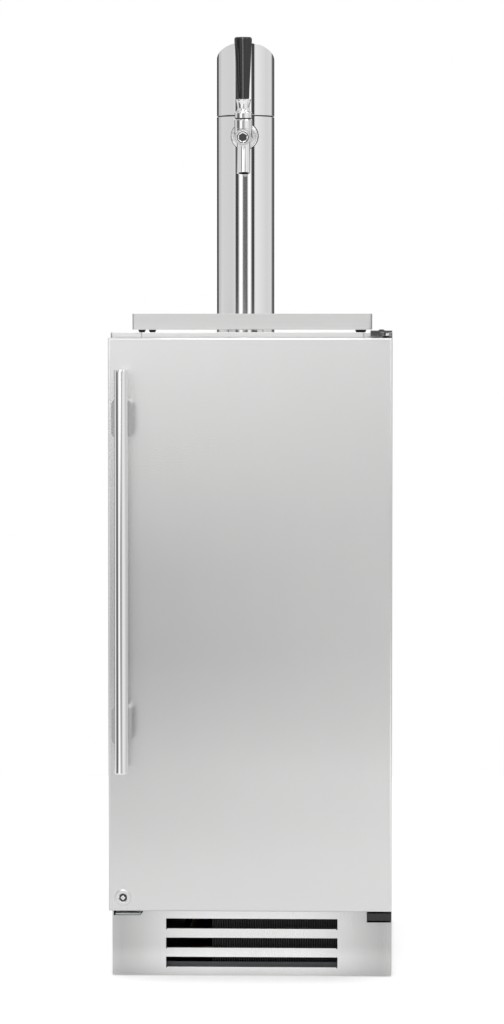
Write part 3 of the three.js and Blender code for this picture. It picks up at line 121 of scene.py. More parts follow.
# Degrees round the object, 0 towards the camera and positive to the right, with the brightness there.
upper_cards = [
    (-180, 0.03), (-144, 0.06), (-136, 0.30), (-127, 0.76), (-117, 0.62), (-112, 0.78), (-50, 0.75),
    (-43, 0.82), (-40, 0.70), (-37.5, 0.06), (-30, 0.04), (-26.5, 0.28), (-22.5, 1.1), (-18.5, 1.3),
    (-12, 1.3), (-9.5, 0.6), (-7.5, 0.18), (7, 0.14), (10.5, 0.6), (12.5, 1.2), (20, 1.3), (23, 0.9),
    (26, 0.22), (29, 0.04), (36, 0.04), (39, 0.85), (43, 0.95), (95, 0.78), (122, 0.82), (130, 0.72),
    (135, 0.18), (180, 0.03),
]
lower_cards = [
    (-180, 0.10), (-130, 0.30), (-120, 1.0), (-103, 1.1), (-94, 0.45), (-80, 0.18), (-60, 0.12),
    (-52, 0.30), (-44, 0.7), (-36, 1.2), (-18, 1.35), (-11, 0.95), (1, 0.8), (4, 0.3), (11, 0.3), (14, 0.6),
    (24, 0.85), (41, 0.98), (62, 0.88), (82, 0.72), (105, 0.45), (125, 0.3), (180, 0.10),
]
height = direction.outputs["Z"]
ahead = worked(studio, "MULTIPLY", direction.outputs["Y"], -1.0)
bearing = worked(studio, "ARCTAN2", direction.outputs["X"], ahead)
degrees = worked(studio, "MULTIPLY", bearing, 180 / np.pi)
turn = worked(studio, "MULTIPLY_ADD", bearing, 1 / (2 * np.pi), 0.5)
rows = [
    ramped(studio, turn, [((degrees_round + 180) / 360, tone * 0.5) for degrees_round, tone in cards])
    for cards in (lower_cards, upper_cards)
]
cards = blended(studio, eased(studio, height, -0.008, 0.0), *rows)

# The height of a direction is the sine of its elevation, and upward runs from 0 straight down to 1 straight
# up. In front the rows of cards reach higher than behind, where the ceiling starts low so that level sheets
# stay bright.
upward = worked(studio, "MULTIPLY_ADD", height, 0.5, 0.5)
dome = ramped(studio, upward, [
    (0.0, 0.42), (0.56, 0.46), (0.70, 0.46), (0.76, 0.24), (0.88, 0.24), (0.93, 0.55), (1.0, 0.6),
])
behind = eased(studio, direction.outputs["Y"], -0.2, 0.4)
steepness = worked(studio, "MULTIPLY_ADD", behind, 0.3, worked(studio, "ABSOLUTE", height))
walls = blended(studio, eased(studio, steepness, 0.38, 0.62), cards, dome)

# The two cards for the flat door. Each has its sides in degrees and its foot and top in height, and every
# pair is followed by the width of its soft ends.
low_card = ramped(studio, upward, [
    (0.40, 0.3), (0.43, 0.4), (0.4425, 0.45), (0.4525, 0.3), (0.461, 0.2), (0.475, 0.2), (0.4825, 0.4),
    (0.49, 0.7), (0.496, 0.85),
])
high_card = ramped(studio, upward, [(0.55, 0.95), (0.62, 0.8), (0.75, 0.6)])
for card, width, reach in (
    (low_card, (-20.0, 3.5, 3.0), (-0.3, -0.003, 0.004)),
    (high_card, (-27.0, 24.0, 4.0), (0.07, 0.50, 0.012)),
):
    share = worked(studio, "MULTIPLY", inside(studio, degrees, *width), inside(studio, height, *reach))
    walls = blended(studio, share, walls, card)
rays = studio.nodes.new("ShaderNodeLightPath")
seen = blended(studio, rays.outputs["Is Camera Ray"], walls, (0.5, 0.5, 0.5, 1))
background = studio.nodes.new("ShaderNodeBackground")
background.inputs["Strength"].default_value = 2.0
studio.links.new(seen, background.inputs["Color"])
studio.links.new(background.outputs[0], studio.nodes.new("ShaderNodeOutputWorld").inputs[0])


def soft_light(name, place, towards, size, watts):
    """A square area lamp at a place, facing a point, all in metres."""
    lamp = bpy.data.objects.new(name, bpy.data.lights.new(name, "AREA"))
    lamp.data.size = size
    lamp.data.energy = watts
    lamp.location = place
    lamp.visible_camera = False
    aim = np.array(towards) - np.array(place)
    lamp.rotation_euler = (np.arccos(-aim[2] / np.linalg.norm(aim)), 0, np.arctan2(aim[0], -aim[1]) + np.pi)
    bpy.context.scene.collection.objects.link(lamp)


soft_light("key_light", (-0.5, -2.4, 3.1), (0, 0, 0.6), 1.2, 24)
soft_light("fill_light", (1.9, -1.2, 3.0), (0, 0, 0.6), 1.4, 12)


def shader(name, colour, roughness, metallic=0.0, **sockets):
    """A material with one Principled BSDF. Returns the material, its node tree and the shader node."""
    material = bpy.data.materials.new(name)
    material.use_nodes = True
    tree = material.node_tree
    tree.nodes.clear()
    bsdf = tree.nodes.new("ShaderNodeBsdfPrincipled")
    bsdf.inputs["Base Color"].default_value = (*colour, 1)
    bsdf.inputs["Roughness"].default_value = roughness
    bsdf.inputs["Metallic"].default_value = metallic
    for socket, value in sockets.items():
        bsdf.inputs[socket.replace("_", " ")].default_value = value
    tree.links.new(bsdf.outputs[0], tree.nodes.new("ShaderNodeOutputMaterial").inputs[0])
    return material, tree, bsdf


# Floor: matt white paint. A little glow towards the camera and in reflections takes it to the white of the
# walls, and it keeps the object's shadow.
floor_paint, floor_tree, floor_bsdf = shader("floor_paint", (0.84, 0.84, 0.84), 0.9)
floor_bsdf.inputs["Emission Color"].default_value = (1, 1, 1, 1)
floor_rays = floor_tree.nodes.new("ShaderNodeLightPath")
mirrored_glow = worked(floor_tree, "MULTIPLY", floor_rays.outputs["Is Glossy Ray"], 0.1)
glow = worked(floor_tree, "MULTIPLY_ADD", floor_rays.outputs["Is Camera Ray"], 0.4, mirrored_glow)
floor_tree.links.new(glow, floor_bsdf.inputs["Emission Strength"])
floor_noise = floor_tree.nodes.new("ShaderNodeTexNoise")
floor_noise.inputs["Scale"].default_value = 3
floor_place = floor_tree.nodes.new("ShaderNodeTexCoord").outputs["Object"]
floor_tree.links.new(floor_place, floor_noise.inputs["Vector"])
floor_tone = ramped(floor_tree, floor_noise.outputs["Fac"], [(0.3, 0.835), (0.7, 0.845)])
floor_tree.links.new(floor_tone, floor_bsdf.inputs["Base Color"])
floor_mesh = bpy.data.meshes.new("floor")
floor_half = 2.3
floor_corners = [(x * floor_half, y * floor_half, 0) for x, y in ((-1, -1), (1, -1), (1, 1), (-1, 1))]
floor_mesh.from_pydata(floor_corners, [], [(0, 1, 2, 3)])
floor = bpy.data.objects.new("floor", floor_mesh)
floor_mesh.materials.append(floor_paint)
bpy.context.scene.collection.objects.link(floor)

# Cabinet: folded sheet stainless with a fine upright grain. The grain is a noise that is stretched along
# the sheet's rolling direction. It changes the gloss, the tone and the surface.


def group_of(name, inputs, outputs):
    """An empty shader node group with number sockets. Returns the group and its two ends."""
    group = bpy.data.node_groups.new(name, "ShaderNodeTree")
    for label, value in inputs.items():
        socket = group.interface.new_socket(label, in_out="INPUT", socket_type="NodeSocketFloat")
        socket.default_value = value
    for label in outputs:
        group.interface.new_socket(label, in_out="OUTPUT", socket_type="NodeSocketFloat")
    return group, group.nodes.new("NodeGroupInput"), group.nodes.new("NodeGroupOutput")


grain_group, grain_in, grain_out = group_of(
    "rolled_grain", {"Across": 1800.0, "Along": 14.0, "Turned": 0.0}, ["Grain", "Smudge"]
)
links = grain_group.links
place = grain_group.nodes.new("ShaderNodeTexCoord").outputs["Object"]
stretch = grain_group.nodes.new("ShaderNodeCombineXYZ")
for axis, first, second in (("X", "Across", "Along"), ("Z", "Along", "Across")):
    mix = grain_group.nodes.new("ShaderNodeMix")
    links.new(grain_in.outputs["Turned"], mix.inputs["Factor"])
    links.new(grain_in.outputs[first], mix.inputs["A"])
    links.new(grain_in.outputs[second], mix.inputs["B"])
    links.new(mix.outputs[0], stretch.inputs[axis])
links.new(grain_in.outputs["Across"], stretch.inputs["Y"])
scaled = grain_group.nodes.new("ShaderNodeVectorMath")
scaled.operation = "MULTIPLY"
links.new(place, scaled.inputs[0])
links.new(stretch.outputs[0], scaled.inputs[1])
for label, scale, source in (("Grain", 1.0, scaled.outputs[0]), ("Smudge", 6.0, place)):
    noise = grain_group.nodes.new("ShaderNodeTexNoise")
    noise.inputs["Scale"].default_value = scale
    noise.inputs["Detail"].default_value = 3.0
    links.new(source, noise.inputs["Vector"])
    links.new(noise.outputs["Fac"], grain_out.inputs[label])


def grained(name, colour, roughness, metallic=1.0, across=1800.0, along=14.0, turned=0.0, relief=0.04,
            spread=0.06, contrast=0.025, **sockets):
    """Rolled, drawn or moulded stock. The grain changes the tone by the contrast and the roughness by the
    spread, and raises the surface by the relief. Smudges change the roughness over a hand's width."""
    material, tree, bsdf = shader(name, colour, roughness, metallic, **sockets)
    grain = tree.nodes.new("ShaderNodeGroup")
    grain.node_tree = grain_group
    for label, value in (("Across", across), ("Along", along), ("Turned", turned)):
        grain.inputs[label].default_value = value
    tint = np.array(colour)
    stops = [(0.25, tuple(tint * (1 - contrast))), (0.75, tuple(np.minimum(tint * (1 + contrast), 1)))]
    tree.links.new(ramped(tree, grain.outputs["Grain"], stops), bsdf.inputs["Base Color"])
    both = worked(tree, "ADD", grain.outputs["Grain"], grain.outputs["Smudge"])
    gloss = worked(tree, "MULTIPLY_ADD", both, spread, max(roughness - spread, 0.01))
    tree.links.new(gloss, bsdf.inputs["Roughness"])
    bump = tree.nodes.new("ShaderNodeBump")
    bump.inputs["Strength"].default_value = relief
    bump.inputs["Distance"].default_value = 0.0002
    tree.links.new(grain.outputs["Grain"], bump.inputs["Height"])
    tree.links.new(bump.outputs[0], bsdf.inputs["Normal"])
    return material


def placed(mesh, name, node, body, angle):
    """Puts a mesh in the scene as a piece that rides on a body and takes a CAD node's place. Edges sharper
    than the angle stay sharp."""
    mesh.polygons.foreach_set("use_smooth", np.ones(len(mesh.polygons), bool))
    mesh.set_sharp_from_angle(angle=np.radians(angle))
    piece = bpy.data.objects.new(name, mesh)
    bpy.context.scene.collection.objects.link(piece)
    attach(piece, body)
    if node:
        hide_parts(node)
    return piece


def flat_kept(piece):
    """Lets large flat faces decide the normals at their corners."""
    weighted = piece.modifiers.new("flat_faces_kept", "WEIGHTED_NORMAL")
    weighted.weight = 80
    weighted.keep_sharp = True


def finished(node, material, edge=0.0, body="cabinet", angle=32):
    """A welded copy of a CAD node takes the node's place. Its flat facets are joined, its edges are
    rounded by the edge in mm, and its round faces are smooth."""
    mesh = bpy.data.meshes.new(node + "_finished")
    shape = bmesh.new()
    shape.from_mesh(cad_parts[node].data)
    bmesh.ops.remove_doubles(shape, verts=shape.verts, dist=1e-6)
    bmesh.ops.dissolve_limit(shape, angle_limit=np.radians(0.6), verts=shape.verts, edges=shape.edges)
    shape.to_mesh(mesh)
    shape.free()
    mesh.materials.clear()
    mesh.materials.append(material)
    piece = placed(mesh, node + "_finished", node, body, angle)
    if edge:
        bevel = piece.modifiers.new("rounded_edges", "BEVEL")
        bevel.width = edge * mm
        bevel.segments = 2
        bevel.limit_method = "ANGLE"
        bevel.angle_limit = np.radians(angle)
    flat_kept(piece)
    return piece


panel_steel = grained("brushed_stainless_upright", (0.72, 0.72, 0.715), 0.3)
level_steel = grained("brushed_stainless_level", (0.68, 0.68, 0.675), 0.3, turned=1.0)
for node in ("left_side_panel", "right_side_panel"):
    finished(node, panel_steel, 0.5)
finished("top_panel", level_steel)
for node in ("top_corner_left", "top_front_rail", "top_corner_right"):
    finished(node, level_steel, 0.5)

# Back panel, base pan and lock strike: folded galvanised sheet with its soft grey blotches. The base pan's
# sheet is a dark grey.
blotches = {"across": 120.0, "along": 90.0, "spread": 0.14, "contrast": 0.10}
zinc = grained("galvanised_sheet", (0.50, 0.52, 0.53), 0.44, **blotches)
dark_zinc = grained("dark_galvanised_sheet", (0.09, 0.095, 0.10), 0.5, **blotches)
for node, sheet in (("back_panel", zinc), ("base_pan", dark_zinc), ("lock_strike", zinc)):
    finished(node, sheet, 0.3)

# Room: the inner liner is folded from thin stainless sheet. Cream foam, poured behind it, holds it in the
# cabinet.
liner_steel = grained("liner_stainless", (0.62, 0.62, 0.62), 0.3, across=900.0)
finished("inner_liner", liner_steel)
foam = grained("cream_foam", (0.72, 0.64, 0.42), 0.95, 0.0, across=420.0, along=420.0, relief=0.5,
               contrast=0.1)
finished("foam_insulation", foam)

# Toe-kick grille: thinner sheet with pressed slots, whose lower lips are folded back. Its two ends carry
# painted shade, darker than its middle, and its foot carries painted light, brighter than the sheet above.
toe_steel = grained("toe_kick_stainless", (0.97, 0.97, 0.965), 0.26, relief=0.02)


def object_place(tree):
    """The node whose outputs X, Y and Z are the place in the object's own frame, in metres."""
    place = tree.nodes.new("ShaderNodeSeparateXYZ")
    tree.links.new(tree.nodes.new("ShaderNodeTexCoord").outputs["Object"], place.inputs[0])
    return place


def multiplied(material, factor):
    """Multiplies the tone that the grain gives a material by another node's output."""
    tree = material.node_tree
    surface = tree.nodes["Principled BSDF"].inputs["Base Color"]
    mix = tree.nodes.new("ShaderNodeMix")
    mix.data_type = "RGBA"
    mix.blend_type = "MULTIPLY"
    mix.inputs["Factor"].default_value = 1
    tree.links.new(surface.links[0].from_socket, mix.inputs["A"])
    tree.links.new(factor, mix.inputs["B"])
    tree.links.new(mix.outputs["Result"], surface)


def light_shade_painted(material, axis, stops, right_stops=None):
    """Paints light and shade into the tone: multiplies it by a ramp along X, as the distance from the middle,
    or along Z, both in metres. Of two ramps the first holds at the left edge of the front and the second at
    its right edge."""
    tree = material.node_tree
    place = object_place(tree)
    distance = worked(tree, "ABSOLUTE", place.outputs[axis])
    tone = ramped(tree, distance, stops)
    if right_stops:
        front_width = 0.37
        share = worked(tree, "MULTIPLY_ADD", place.outputs["X"], 1 / front_width, 0.5)
        tone = blended(tree, share, tone, ramped(tree, distance, right_stops))
    multiplied(material, tone)


# Painted shade towards the two ends, along X, and painted light at the foot, along Z.
light_shade_painted(toe_steel, "X", [
    (0.06, 1.0), (0.10, 0.935), (0.13, 0.805), (0.15, 0.70), (0.175, 0.59), (0.188, 0.65),
])
light_shade_painted(toe_steel, "Z", [(0.026, 1.0), (0.042, 0.85)])
finished("toe_kick_grille", toe_steel, 0.35)

# Levelling legs: turned steel, plated and dulled. Their threaded stems go up through the base pan, and their
# round pads stand on the floor.
leg_steel = grained("plated_steel", (0.16, 0.16, 0.165), 0.4, 0.9, across=300.0, along=300.0)
for corner in ("front_left", "front_right", "rear_left", "rear_right"):
    finished("leveling_leg_" + corner, leg_steel, 0.4)

# Refrigeration: a painted condenser, its moulded shroud and an enamelled compressor stand on the base pan.
# Copper lines join them to the coil in the room, behind a folded stainless cover. Each fan is a black
# moulding on its motor's shaft.
fin_metal = grained("black_fins", (0.045, 0.045, 0.045), 0.45, 0.6, across=600.0, along=60.0, spread=0.1)
black_plastic = grained("black_moulding", (0.014, 0.014, 0.014), 0.42, 0.0, across=900.0, along=900.0,
                        relief=0.2)
enamel = grained("black_enamel", (0.012, 0.012, 0.012), 0.28, 0.0, across=90.0, along=90.0, relief=0.15)
copper = grained("copper_tube", (0.62, 0.30, 0.16), 0.28, across=300.0, along=60.0, contrast=0.12)
cover_steel = grained("cover_stainless", (0.62, 0.62, 0.62), 0.32, across=1200.0)
finished("condenser", fin_metal)
finished("condenser_shroud", black_plastic, 0.3)
finished("condenser_fan_motor", leg_steel, 0.4)
finished("condenser_fan", black_plastic, 0.25, "condenser_rotor")
finished("compressor", enamel, 0.6)
finished("discharge_line", copper)
finished("suction_line", copper)
finished("evaporator_coil", fin_metal)
finished("evaporator_cover", cover_steel, 0.4)
finished("evaporator_fan_motor", leg_steel, 0.4)
finished("evaporator_fan", black_plastic, 0.25, "evaporator_rotor")
finished("thermostat_knob", black_plastic, 0.5, "knob")

# Door: a brushed stainless pan with bent edges, its foam, its pressed inner panel, its gasket and a nylon
# bushing for each hinge pin. The pan's tone holds painted shade in its middle and painted light at its top
# and bottom, most of all towards the left.
door_steel = grained("door_stainless", (0.97, 0.97, 0.965), 0.2, across=700.0, along=9.0, relief=0.012,
                     spread=0.02, contrast=0.02)
# Painted shade in the middle of the pan and painted light at its top and bottom, with a left and a right
# ramp.
light_shade_painted(door_steel, "Z",
      [(0.12, 0.72), (0.30, 0.72), (0.44, 0.62), (0.55, 0.66), (0.85, 1.0)],
      [(0.12, 0.75), (0.28, 0.89), (0.46, 0.84), (0.62, 0.86), (0.85, 0.97)])
rubber_grey = grained("gasket_rubber", (0.27, 0.275, 0.285), 0.72, 0.0, across=500.0, along=30.0, relief=0.2)
finished("door_skin", door_steel, 0.0, "door")
finished("door_foam", foam, 0.0, "door")
finished("door_inner_panel", liner_steel, 0.8, "door")
finished("door_gasket", rubber_grey, 1.5, "door")
for end in ("upper", "lower"):
    finished(end + "_hinge_bushing", black_plastic, 0.2, "door")


def softened(corners, radii, steps=5):
    """A line whose corners are rounded. Each corner becomes a curve that starts and ends its radius away,
    or just under half a side where the side is short: (1-t)^2 start + 2t(1-t) corner + t^2 end."""
    p = np.array(corners, float)
    radii = np.broadcast_to(radii, len(p))
    t = np.linspace(0, 1, steps)[None, :, None]
    ends = []
    for neighbour in (1, -1):
        side = np.roll(p, neighbour, 0) - p
        length = np.maximum(np.linalg.norm(side, axis=1), 1e-9)
        ends.append(p + side * np.minimum(radii / length, 0.48)[:, None])
    curve = (1 - t) ** 2 * ends[0][:, None] + 2 * t * (1 - t) * p[:, None] + t ** 2 * ends[1][:, None]
    return curve.reshape(-1, p.shape[1])


def circle_of(sides):
    """Points (cos, sin) round a unit circle."""
    turns = np.arange(sides) * 2 * np.pi / sides
    return np.stack([np.cos(turns), np.sin(turns)], 1)


def turned(profile, centre=(0.0, 0.0), axis="Z", sides=96):
    """Rings of a turned piece: each profile point (radius, distance along the axis) becomes a circle round
    the centre, given in the two other axes."""
    profile = np.asarray(profile, float)
    flat = profile[:, :1, None] * circle_of(sides) + np.array(centre)
    along = np.broadcast_to(profile[:, 1:2, None], flat.shape[:2] + (1,))
    if axis == "Z":
        return np.concatenate([flat, along], 2)
    return np.concatenate([flat[..., :1], along, flat[..., 1:]], 2)


def skinned(name, rings, material, node=None, body="cabinet", looped=False,
            angle=35):
    """A closed piece from rings of points in mm. Four-sided faces join each ring to the next. The two end
    rings are filled by a face each, or joined to each other in a looped piece. A negative volume means
    that the faces point inwards, so they are flipped."""
    count, points = rings.shape[:2]
    i, j = np.meshgrid(np.arange(count if looped else count - 1), np.arange(points), indexing="ij")
    after, beside = (i + 1) % count, (j + 1) % points
    corners = [i * points + j, i * points + beside, after * points + beside, after * points + j]
    quads = np.stack(corners, -1).reshape(-1, 4)
    place = rings.reshape(-1, 3) * mm
    a, b, c, d = (place[quads[:, k]] - place.mean(0) for k in range(4))
    volume = (a * np.cross(b, c)).sum() + (a * np.cross(c, d)).sum()
    faces = quads.tolist()
    if not looped:
        faces.append(list(range(points))[::-1])
        faces.append(list(range((count - 1) * points, count * points)))
    mesh = bpy.data.meshes.new(name)
    mesh.from_pydata(place.tolist(), [], faces)
    if volume < 0:
        mesh.flip_normals()
    mesh.materials.append(material)
    piece = placed(mesh, name, node, body, angle)
    flat_kept(piece)
    return piece


# Pull handle: a polished round bar in two cast standoffs, which reach round its back and are screwed to the
# door from inside.
mirror_steel = grained("polished_stainless", (0.82, 0.82, 0.82), 0.055, across=700.0, along=700.0, relief=0.0,
                       spread=0.02, contrast=0.008)
bar_x, bar_y, bar_radius, bar_low, bar_high = -168.2, -325.475, 9.05, 285.6, 820.6
bar_corners = [(0.4, bar_low), (bar_radius, bar_low), (bar_radius, bar_high), (0.4, bar_high)]
bar_line = softened(bar_corners, [0, 2.4, 2.4, 0])
skinned("pull_bar_polished", turned(bar_line, (bar_x, bar_y)), mirror_steel, "pull_bar", "door")
cast_steel = grained("cast_standoff", (0.52, 0.52, 0.52), 0.2, across=500.0, along=500.0, relief=0.03)
for end in ("upper", "lower"):
    finished("handle_standoff_" + end, cast_steel, 0.9, "door")

# Lock: a satin bezel pressed into the door, round a dark plug that turns in it. The plug holds a bright
# four-sided core, and a dark diamond on the core's face is painted shade standing in for the keyway.
lock_x, lock_z = -169.6, 115.3
satin = grained("satin_nickel", (0.70, 0.70, 0.69), 0.3, across=900.0, along=900.0, relief=0.05)
dark_metal = grained("dark_metal", (0.07, 0.07, 0.072), 0.4, 0.9, across=400.0, along=400.0, relief=0.1)
bezel = [(4.95, door_face + 25), (7.5, door_face + 25), (7.5, door_face - 0.3), (11, door_face - 0.3),
         (11, door_face - 1.0), (9.9, door_face - 1.8), (6.2, door_face - 1.8), (4.95, door_face - 0.5)]
skinned("lock_bezel", turned(softened(bezel, 0.25), (lock_x, lock_z), "Y"), satin, "lock_housing", "door",
        True)
finished("lock_plug", dark_metal, 0.15, "lock_cylinder")
core = [(3.9, door_face - 0.3), (3.9, door_face - 0.7), (3.3, door_face - 1.7), (0.5, door_face - 1.7)]
skinned("lock_core", turned(softened(core, [0, 0.2, 0.3, 0]), (lock_x, lock_z), "Y", 4), mirror_steel, None,
        "lock_cylinder")
keyway_shade_line = [(0.5, door_face - 1.2), (1.3, door_face - 1.75), (0.5, door_face - 1.76)]
keyway_shade_rings = turned(keyway_shade_line, (0, 0), "Y", 4) * (0.35, 1, 1.2) + (lock_x, 0, lock_z)
skinned("lock_keyway_shade", keyway_shade_rings, dark_metal, None, "lock_cylinder")

# Hinges: painted steel plates, screwed to the cabinet. The upper one carries a bright pin collar that shows
# above the door.
paint = grained("dark_hinge_paint", (0.085, 0.085, 0.088), 0.38, 0.6, across=350.0, along=350.0, relief=0.12)
finished("upper_hinge_bracket", paint, 0.4)
finished("lower_hinge_bracket", enamel, 0.4)
pin_place = (181.4, -260.475)
collar = [(2.0, 864.8), (3.3, 864.8), (3.3, 869.4), (2.0, 869.4)]
skinned("hinge_pin_collar", turned(softened(collar, [0, 0.6, 0.6, 0]), pin_place), mirror_steel)

# Tower: a polished steel tube, bolted down by a ring inside its foot. Its loose cap has a spigot that slips
# into the tube, and a top that is cut on a slant. The spigot and the rounded edges on both sides of the seam
# are painted dark, as painted shade in the seam.
tower = (-16.0, 14.525)
tower_radius, wall, foot_z, seam_z, cap_z = 40.0, 2.0, 869.6, 1168.6, 1270.4
tube_corners = [(tower_radius - wall, foot_z), (tower_radius, foot_z), (tower_radius, seam_z),
                (tower_radius - wall, seam_z)]
tube_rings = turned(softened(tube_corners, [0.3, 0.3, 0.6, 0.4]), tower, "Z", 192)
tube = skinned("tower_tube_polished", tube_rings, mirror_steel, "tower_tube", looped=True)
finished("tower_base_ring", dark_metal, 0.3)


def cap_ring(radius, height, slant):
    """A ring of the cap. Where the slant is 1 it falls towards the back by tan 28 degrees, from the given
    height at the very front of the tower."""
    x, y = (circle_of(192) * radius).T
    fall = (y + tower_radius) * np.tan(np.radians(28)) * slant
    return np.stack([x + tower[0], y + tower[1], height - fall], 1)


cap_foot, spigot_z, spigot_radius, bore_radius, cap_ceiling = seam_z + 1.2, 1153.6, 37.7, 35.9, cap_z - 2.6
rounding = np.radians(np.linspace(0, 90, 6))
foot_edge, top_edge = 0.8, 1.0
cap_rings = [cap_ring(bore_radius, cap_ceiling, 1), cap_ring(bore_radius, spigot_z, 0),
             cap_ring(spigot_radius, spigot_z, 0), cap_ring(spigot_radius, cap_foot, 0)]
for t in rounding:
    radius = tower_radius - foot_edge + foot_edge * np.sin(t)
    cap_rings.append(cap_ring(radius, cap_foot + foot_edge - foot_edge * np.cos(t), 0))
for t in rounding:
    radius = tower_radius - top_edge + top_edge * np.cos(t)
    cap_rings.append(cap_ring(radius, cap_z - top_edge + top_edge * np.sin(t), 1))
cap = skinned("tower_cap_polished", np.array(cap_rings), mirror_steel, "tower_cap", "cap")


def shade_painted_between(piece, low, high):
    """Gives a second, dark material to the faces whose middle lies between two heights in mm, as painted
    shade.
    """
    piece.data.materials.append(dark_metal)
    middles = np.empty(len(piece.data.polygons) * 3)
    piece.data.polygons.foreach_get("center", middles)
    between = (middles[2::3] > low * mm) & (middles[2::3] < high * mm)
    piece.data.polygons.foreach_set("material_index", between.astype(int))


# Painted shade in the seam between the tube and the cap.
painted_shade_edge = 0.35
shade_painted_between(cap, 0, cap_foot + painted_shade_edge)
shade_painted_between(tube, seam_z - painted_shade_edge, seam_z + 1)

# Tap: chromed castings on a brass shank, which points four degrees down and is held by a nut inside the
# tower. A thin black ring round the flange is painted shade at the flange's edge. Sizes are measured in the
# tap's own frame: forwards from the tower's front, sideways, and up from the shank's axis.
chrome = grained("bright_chrome", (0.86, 0.86, 0.87), 0.05, across=500.0, along=500.0, relief=0.0,
                 spread=0.02, contrast=0.01)
brass = grained("turned_brass", (0.62, 0.46, 0.19), 0.26, across=900.0, along=900.0)
tap_slope, shank_height = np.radians(4), 1140.8


def in_tap(rings):
    """Turns points by the tap's slope about X and sets them on the tower at the shank's height."""
    x, y, z = np.moveaxis(rings, -1, 0)
    place = [x + tower[0], y * np.cos(tap_slope) - z * np.sin(tap_slope) + tower[1] - tower_radius,
             y * np.sin(tap_slope) + z * np.cos(tap_slope) + shank_height]
    return np.stack(place, -1)


def turned_forward(profile, sides=96):
    """Rings of a piece that is turned about the shank: profile points (radius, distance forwards)."""
    return turned(np.asarray(profile, float) * (1, -1), (0, 0), "Y", sides)


def on_wall(rings, lift):
    """Where each point lies forwards when it stands off the tower's round wall by the lift in mm:
    (radius - sqrt(radius^2 - x^2) - lift + z sin slope) / cos slope."""
    sunk = tower_radius - np.sqrt(tower_radius ** 2 - rings[..., 0] ** 2) - lift
    return (sunk + rings[..., 2] * np.sin(tap_slope)) / np.cos(tap_slope)


finished("shank", brass)
finished("shank_nut", brass, 0.4)
wall_gap, shade_ring_height = 0.3, 1.3
flange = turned_forward(softened([(11.3, -1), (11.3, 7), (18.5, 7), (18.5, -1)], [0, 0.3, 2.2, 0]))
flange[..., 1] = np.where(flange[..., 1] > 0.9, on_wall(flange, wall_gap), flange[..., 1])
skinned("tap_flange", in_tap(flange), chrome, "shank_flange", looped=True)
rubber = grained("black_rubber", (0.016, 0.016, 0.016), 0.75, 0.0, across=400.0, along=400.0, relief=0.3)
# A black ring just outside the flange, as painted shade at its edge.
flange_shade_ring = turned_forward([(18.6, -1), (18.6, 1), (19.3, 1), (19.3, -1)])
flange_shade_ring[..., 1] = on_wall(flange_shade_ring, wall_gap + shade_ring_height * (flange_shade_ring[..., 1] < 0))
skinned("tap_flange_shade_ring", in_tap(flange_shade_ring), rubber, looped=True)

# The nut has a notch for the spanner every 60 degrees. Its flanks rise over 3 degrees and end 11 degrees from
# its middle.
notch_depth, notch_edge, notch_flank, notched_from = 1.9, 11, 3, 14
nut_line = softened([(11.3, 7.3), (16.5, 7.3), (16.5, 22), (11.3, 22)], [0.2, 1.3, 1.3, 0.3])
nut = turned_forward(nut_line, 192)
nut_radius = np.hypot(nut[..., 0], nut[..., 2])
nut_degrees = np.degrees(np.arctan2(nut[..., 2], nut[..., 0]))
off_notch = np.abs((nut_degrees - 30) % 60 - 30)
dip = np.clip((notch_edge - off_notch) / notch_flank, 0, 1) * (nut_radius > notched_from) * notch_depth
nut[..., 0] *= 1 - dip / nut_radius
nut[..., 2] *= 1 - dip / nut_radius
skinned("coupling_nut_chromed", in_tap(nut), chrome, "coupling_nut", looped=True)
finished("faucet_body", chrome, 0.35)
finished("faucet_bonnet", chrome, 0.25)
finished("faucet_shaft", mirror_steel, 0.0, "valve_shaft")


def six_sided(rings):
    """Pulls round rings in to hexagons with their corners on the circle: each radius is multiplied by
    cos 30 / cos(degrees from the middle of the side)."""
    turns = np.arange(rings.shape[1]) * 360 / rings.shape[1]
    share = np.cos(np.radians(30)) / np.cos(np.radians((turns + 30) % 60 - 30))
    return rings * np.stack([share, np.ones_like(share), share], -1)


cap_front = turned_forward(softened(
    [(0.5, 60.3), (9.2, 60.3), (9.2, 70), (8.1, 70), (8.1, 68.4), (7.1, 68.4), (7.1, 70), (6.6, 70)],
    [0, 0.3, 1.2, 0.15, 0.1, 0.1, 0.3, 0],
))
recess = six_sided(turned_forward([(6.1, 69.6), (6.0, 65.6), (0.5, 65.6)]))
skinned("faucet_cap_chromed", in_tap(np.concatenate([cap_front, recess])), chrome, "faucet_front_cap")
# A dark hexagon in the socket and a dark ring in the groove of the front face are painted shade in those
# hollows.
socket_shade_line = softened([(0.5, 65.7), (5.8, 65.7), (5.8, 68.6), (0.5, 68.6)], [0, 0.1, 0.5, 0])
skinned("faucet_cap_socket_shade", in_tap(six_sided(turned_forward(socket_shade_line))), dark_metal)
groove_shade_line = softened([(7.15, 68.45), (7.15, 69.5), (8.05, 69.5), (8.05, 68.45)], [0, 0.35, 0.35, 0])
skinned("faucet_cap_groove_shade", in_tap(turned_forward(groove_shade_line)), dark_metal, looped=True)

# Lever: one turned and chromed piece from the finger in the valve shaft and the pivot ball up through the
# collar to the flared ferrule. The collar is hollow round the ball. All below its rim is painted dark, as
# painted shade in the gap over the bonnet.
lever_forwards, pivot_height, ball_radius, hollow_radius, rim_height = 46, 16.5, 7, 14.3, 1163.6
ball = np.radians(np.linspace(-76.8, 64.6, 16))
hollow = np.linspace(*np.arccos(np.array([3.0, 11.2]) / hollow_radius), 8)
finger = [(0.3, -2.6), (1.7, -2.0), (2.6, 0), (1.9, 1.8)]
stud = [(4.7, 51.6), (4.7, 63.3), (0.3, 63.3)]

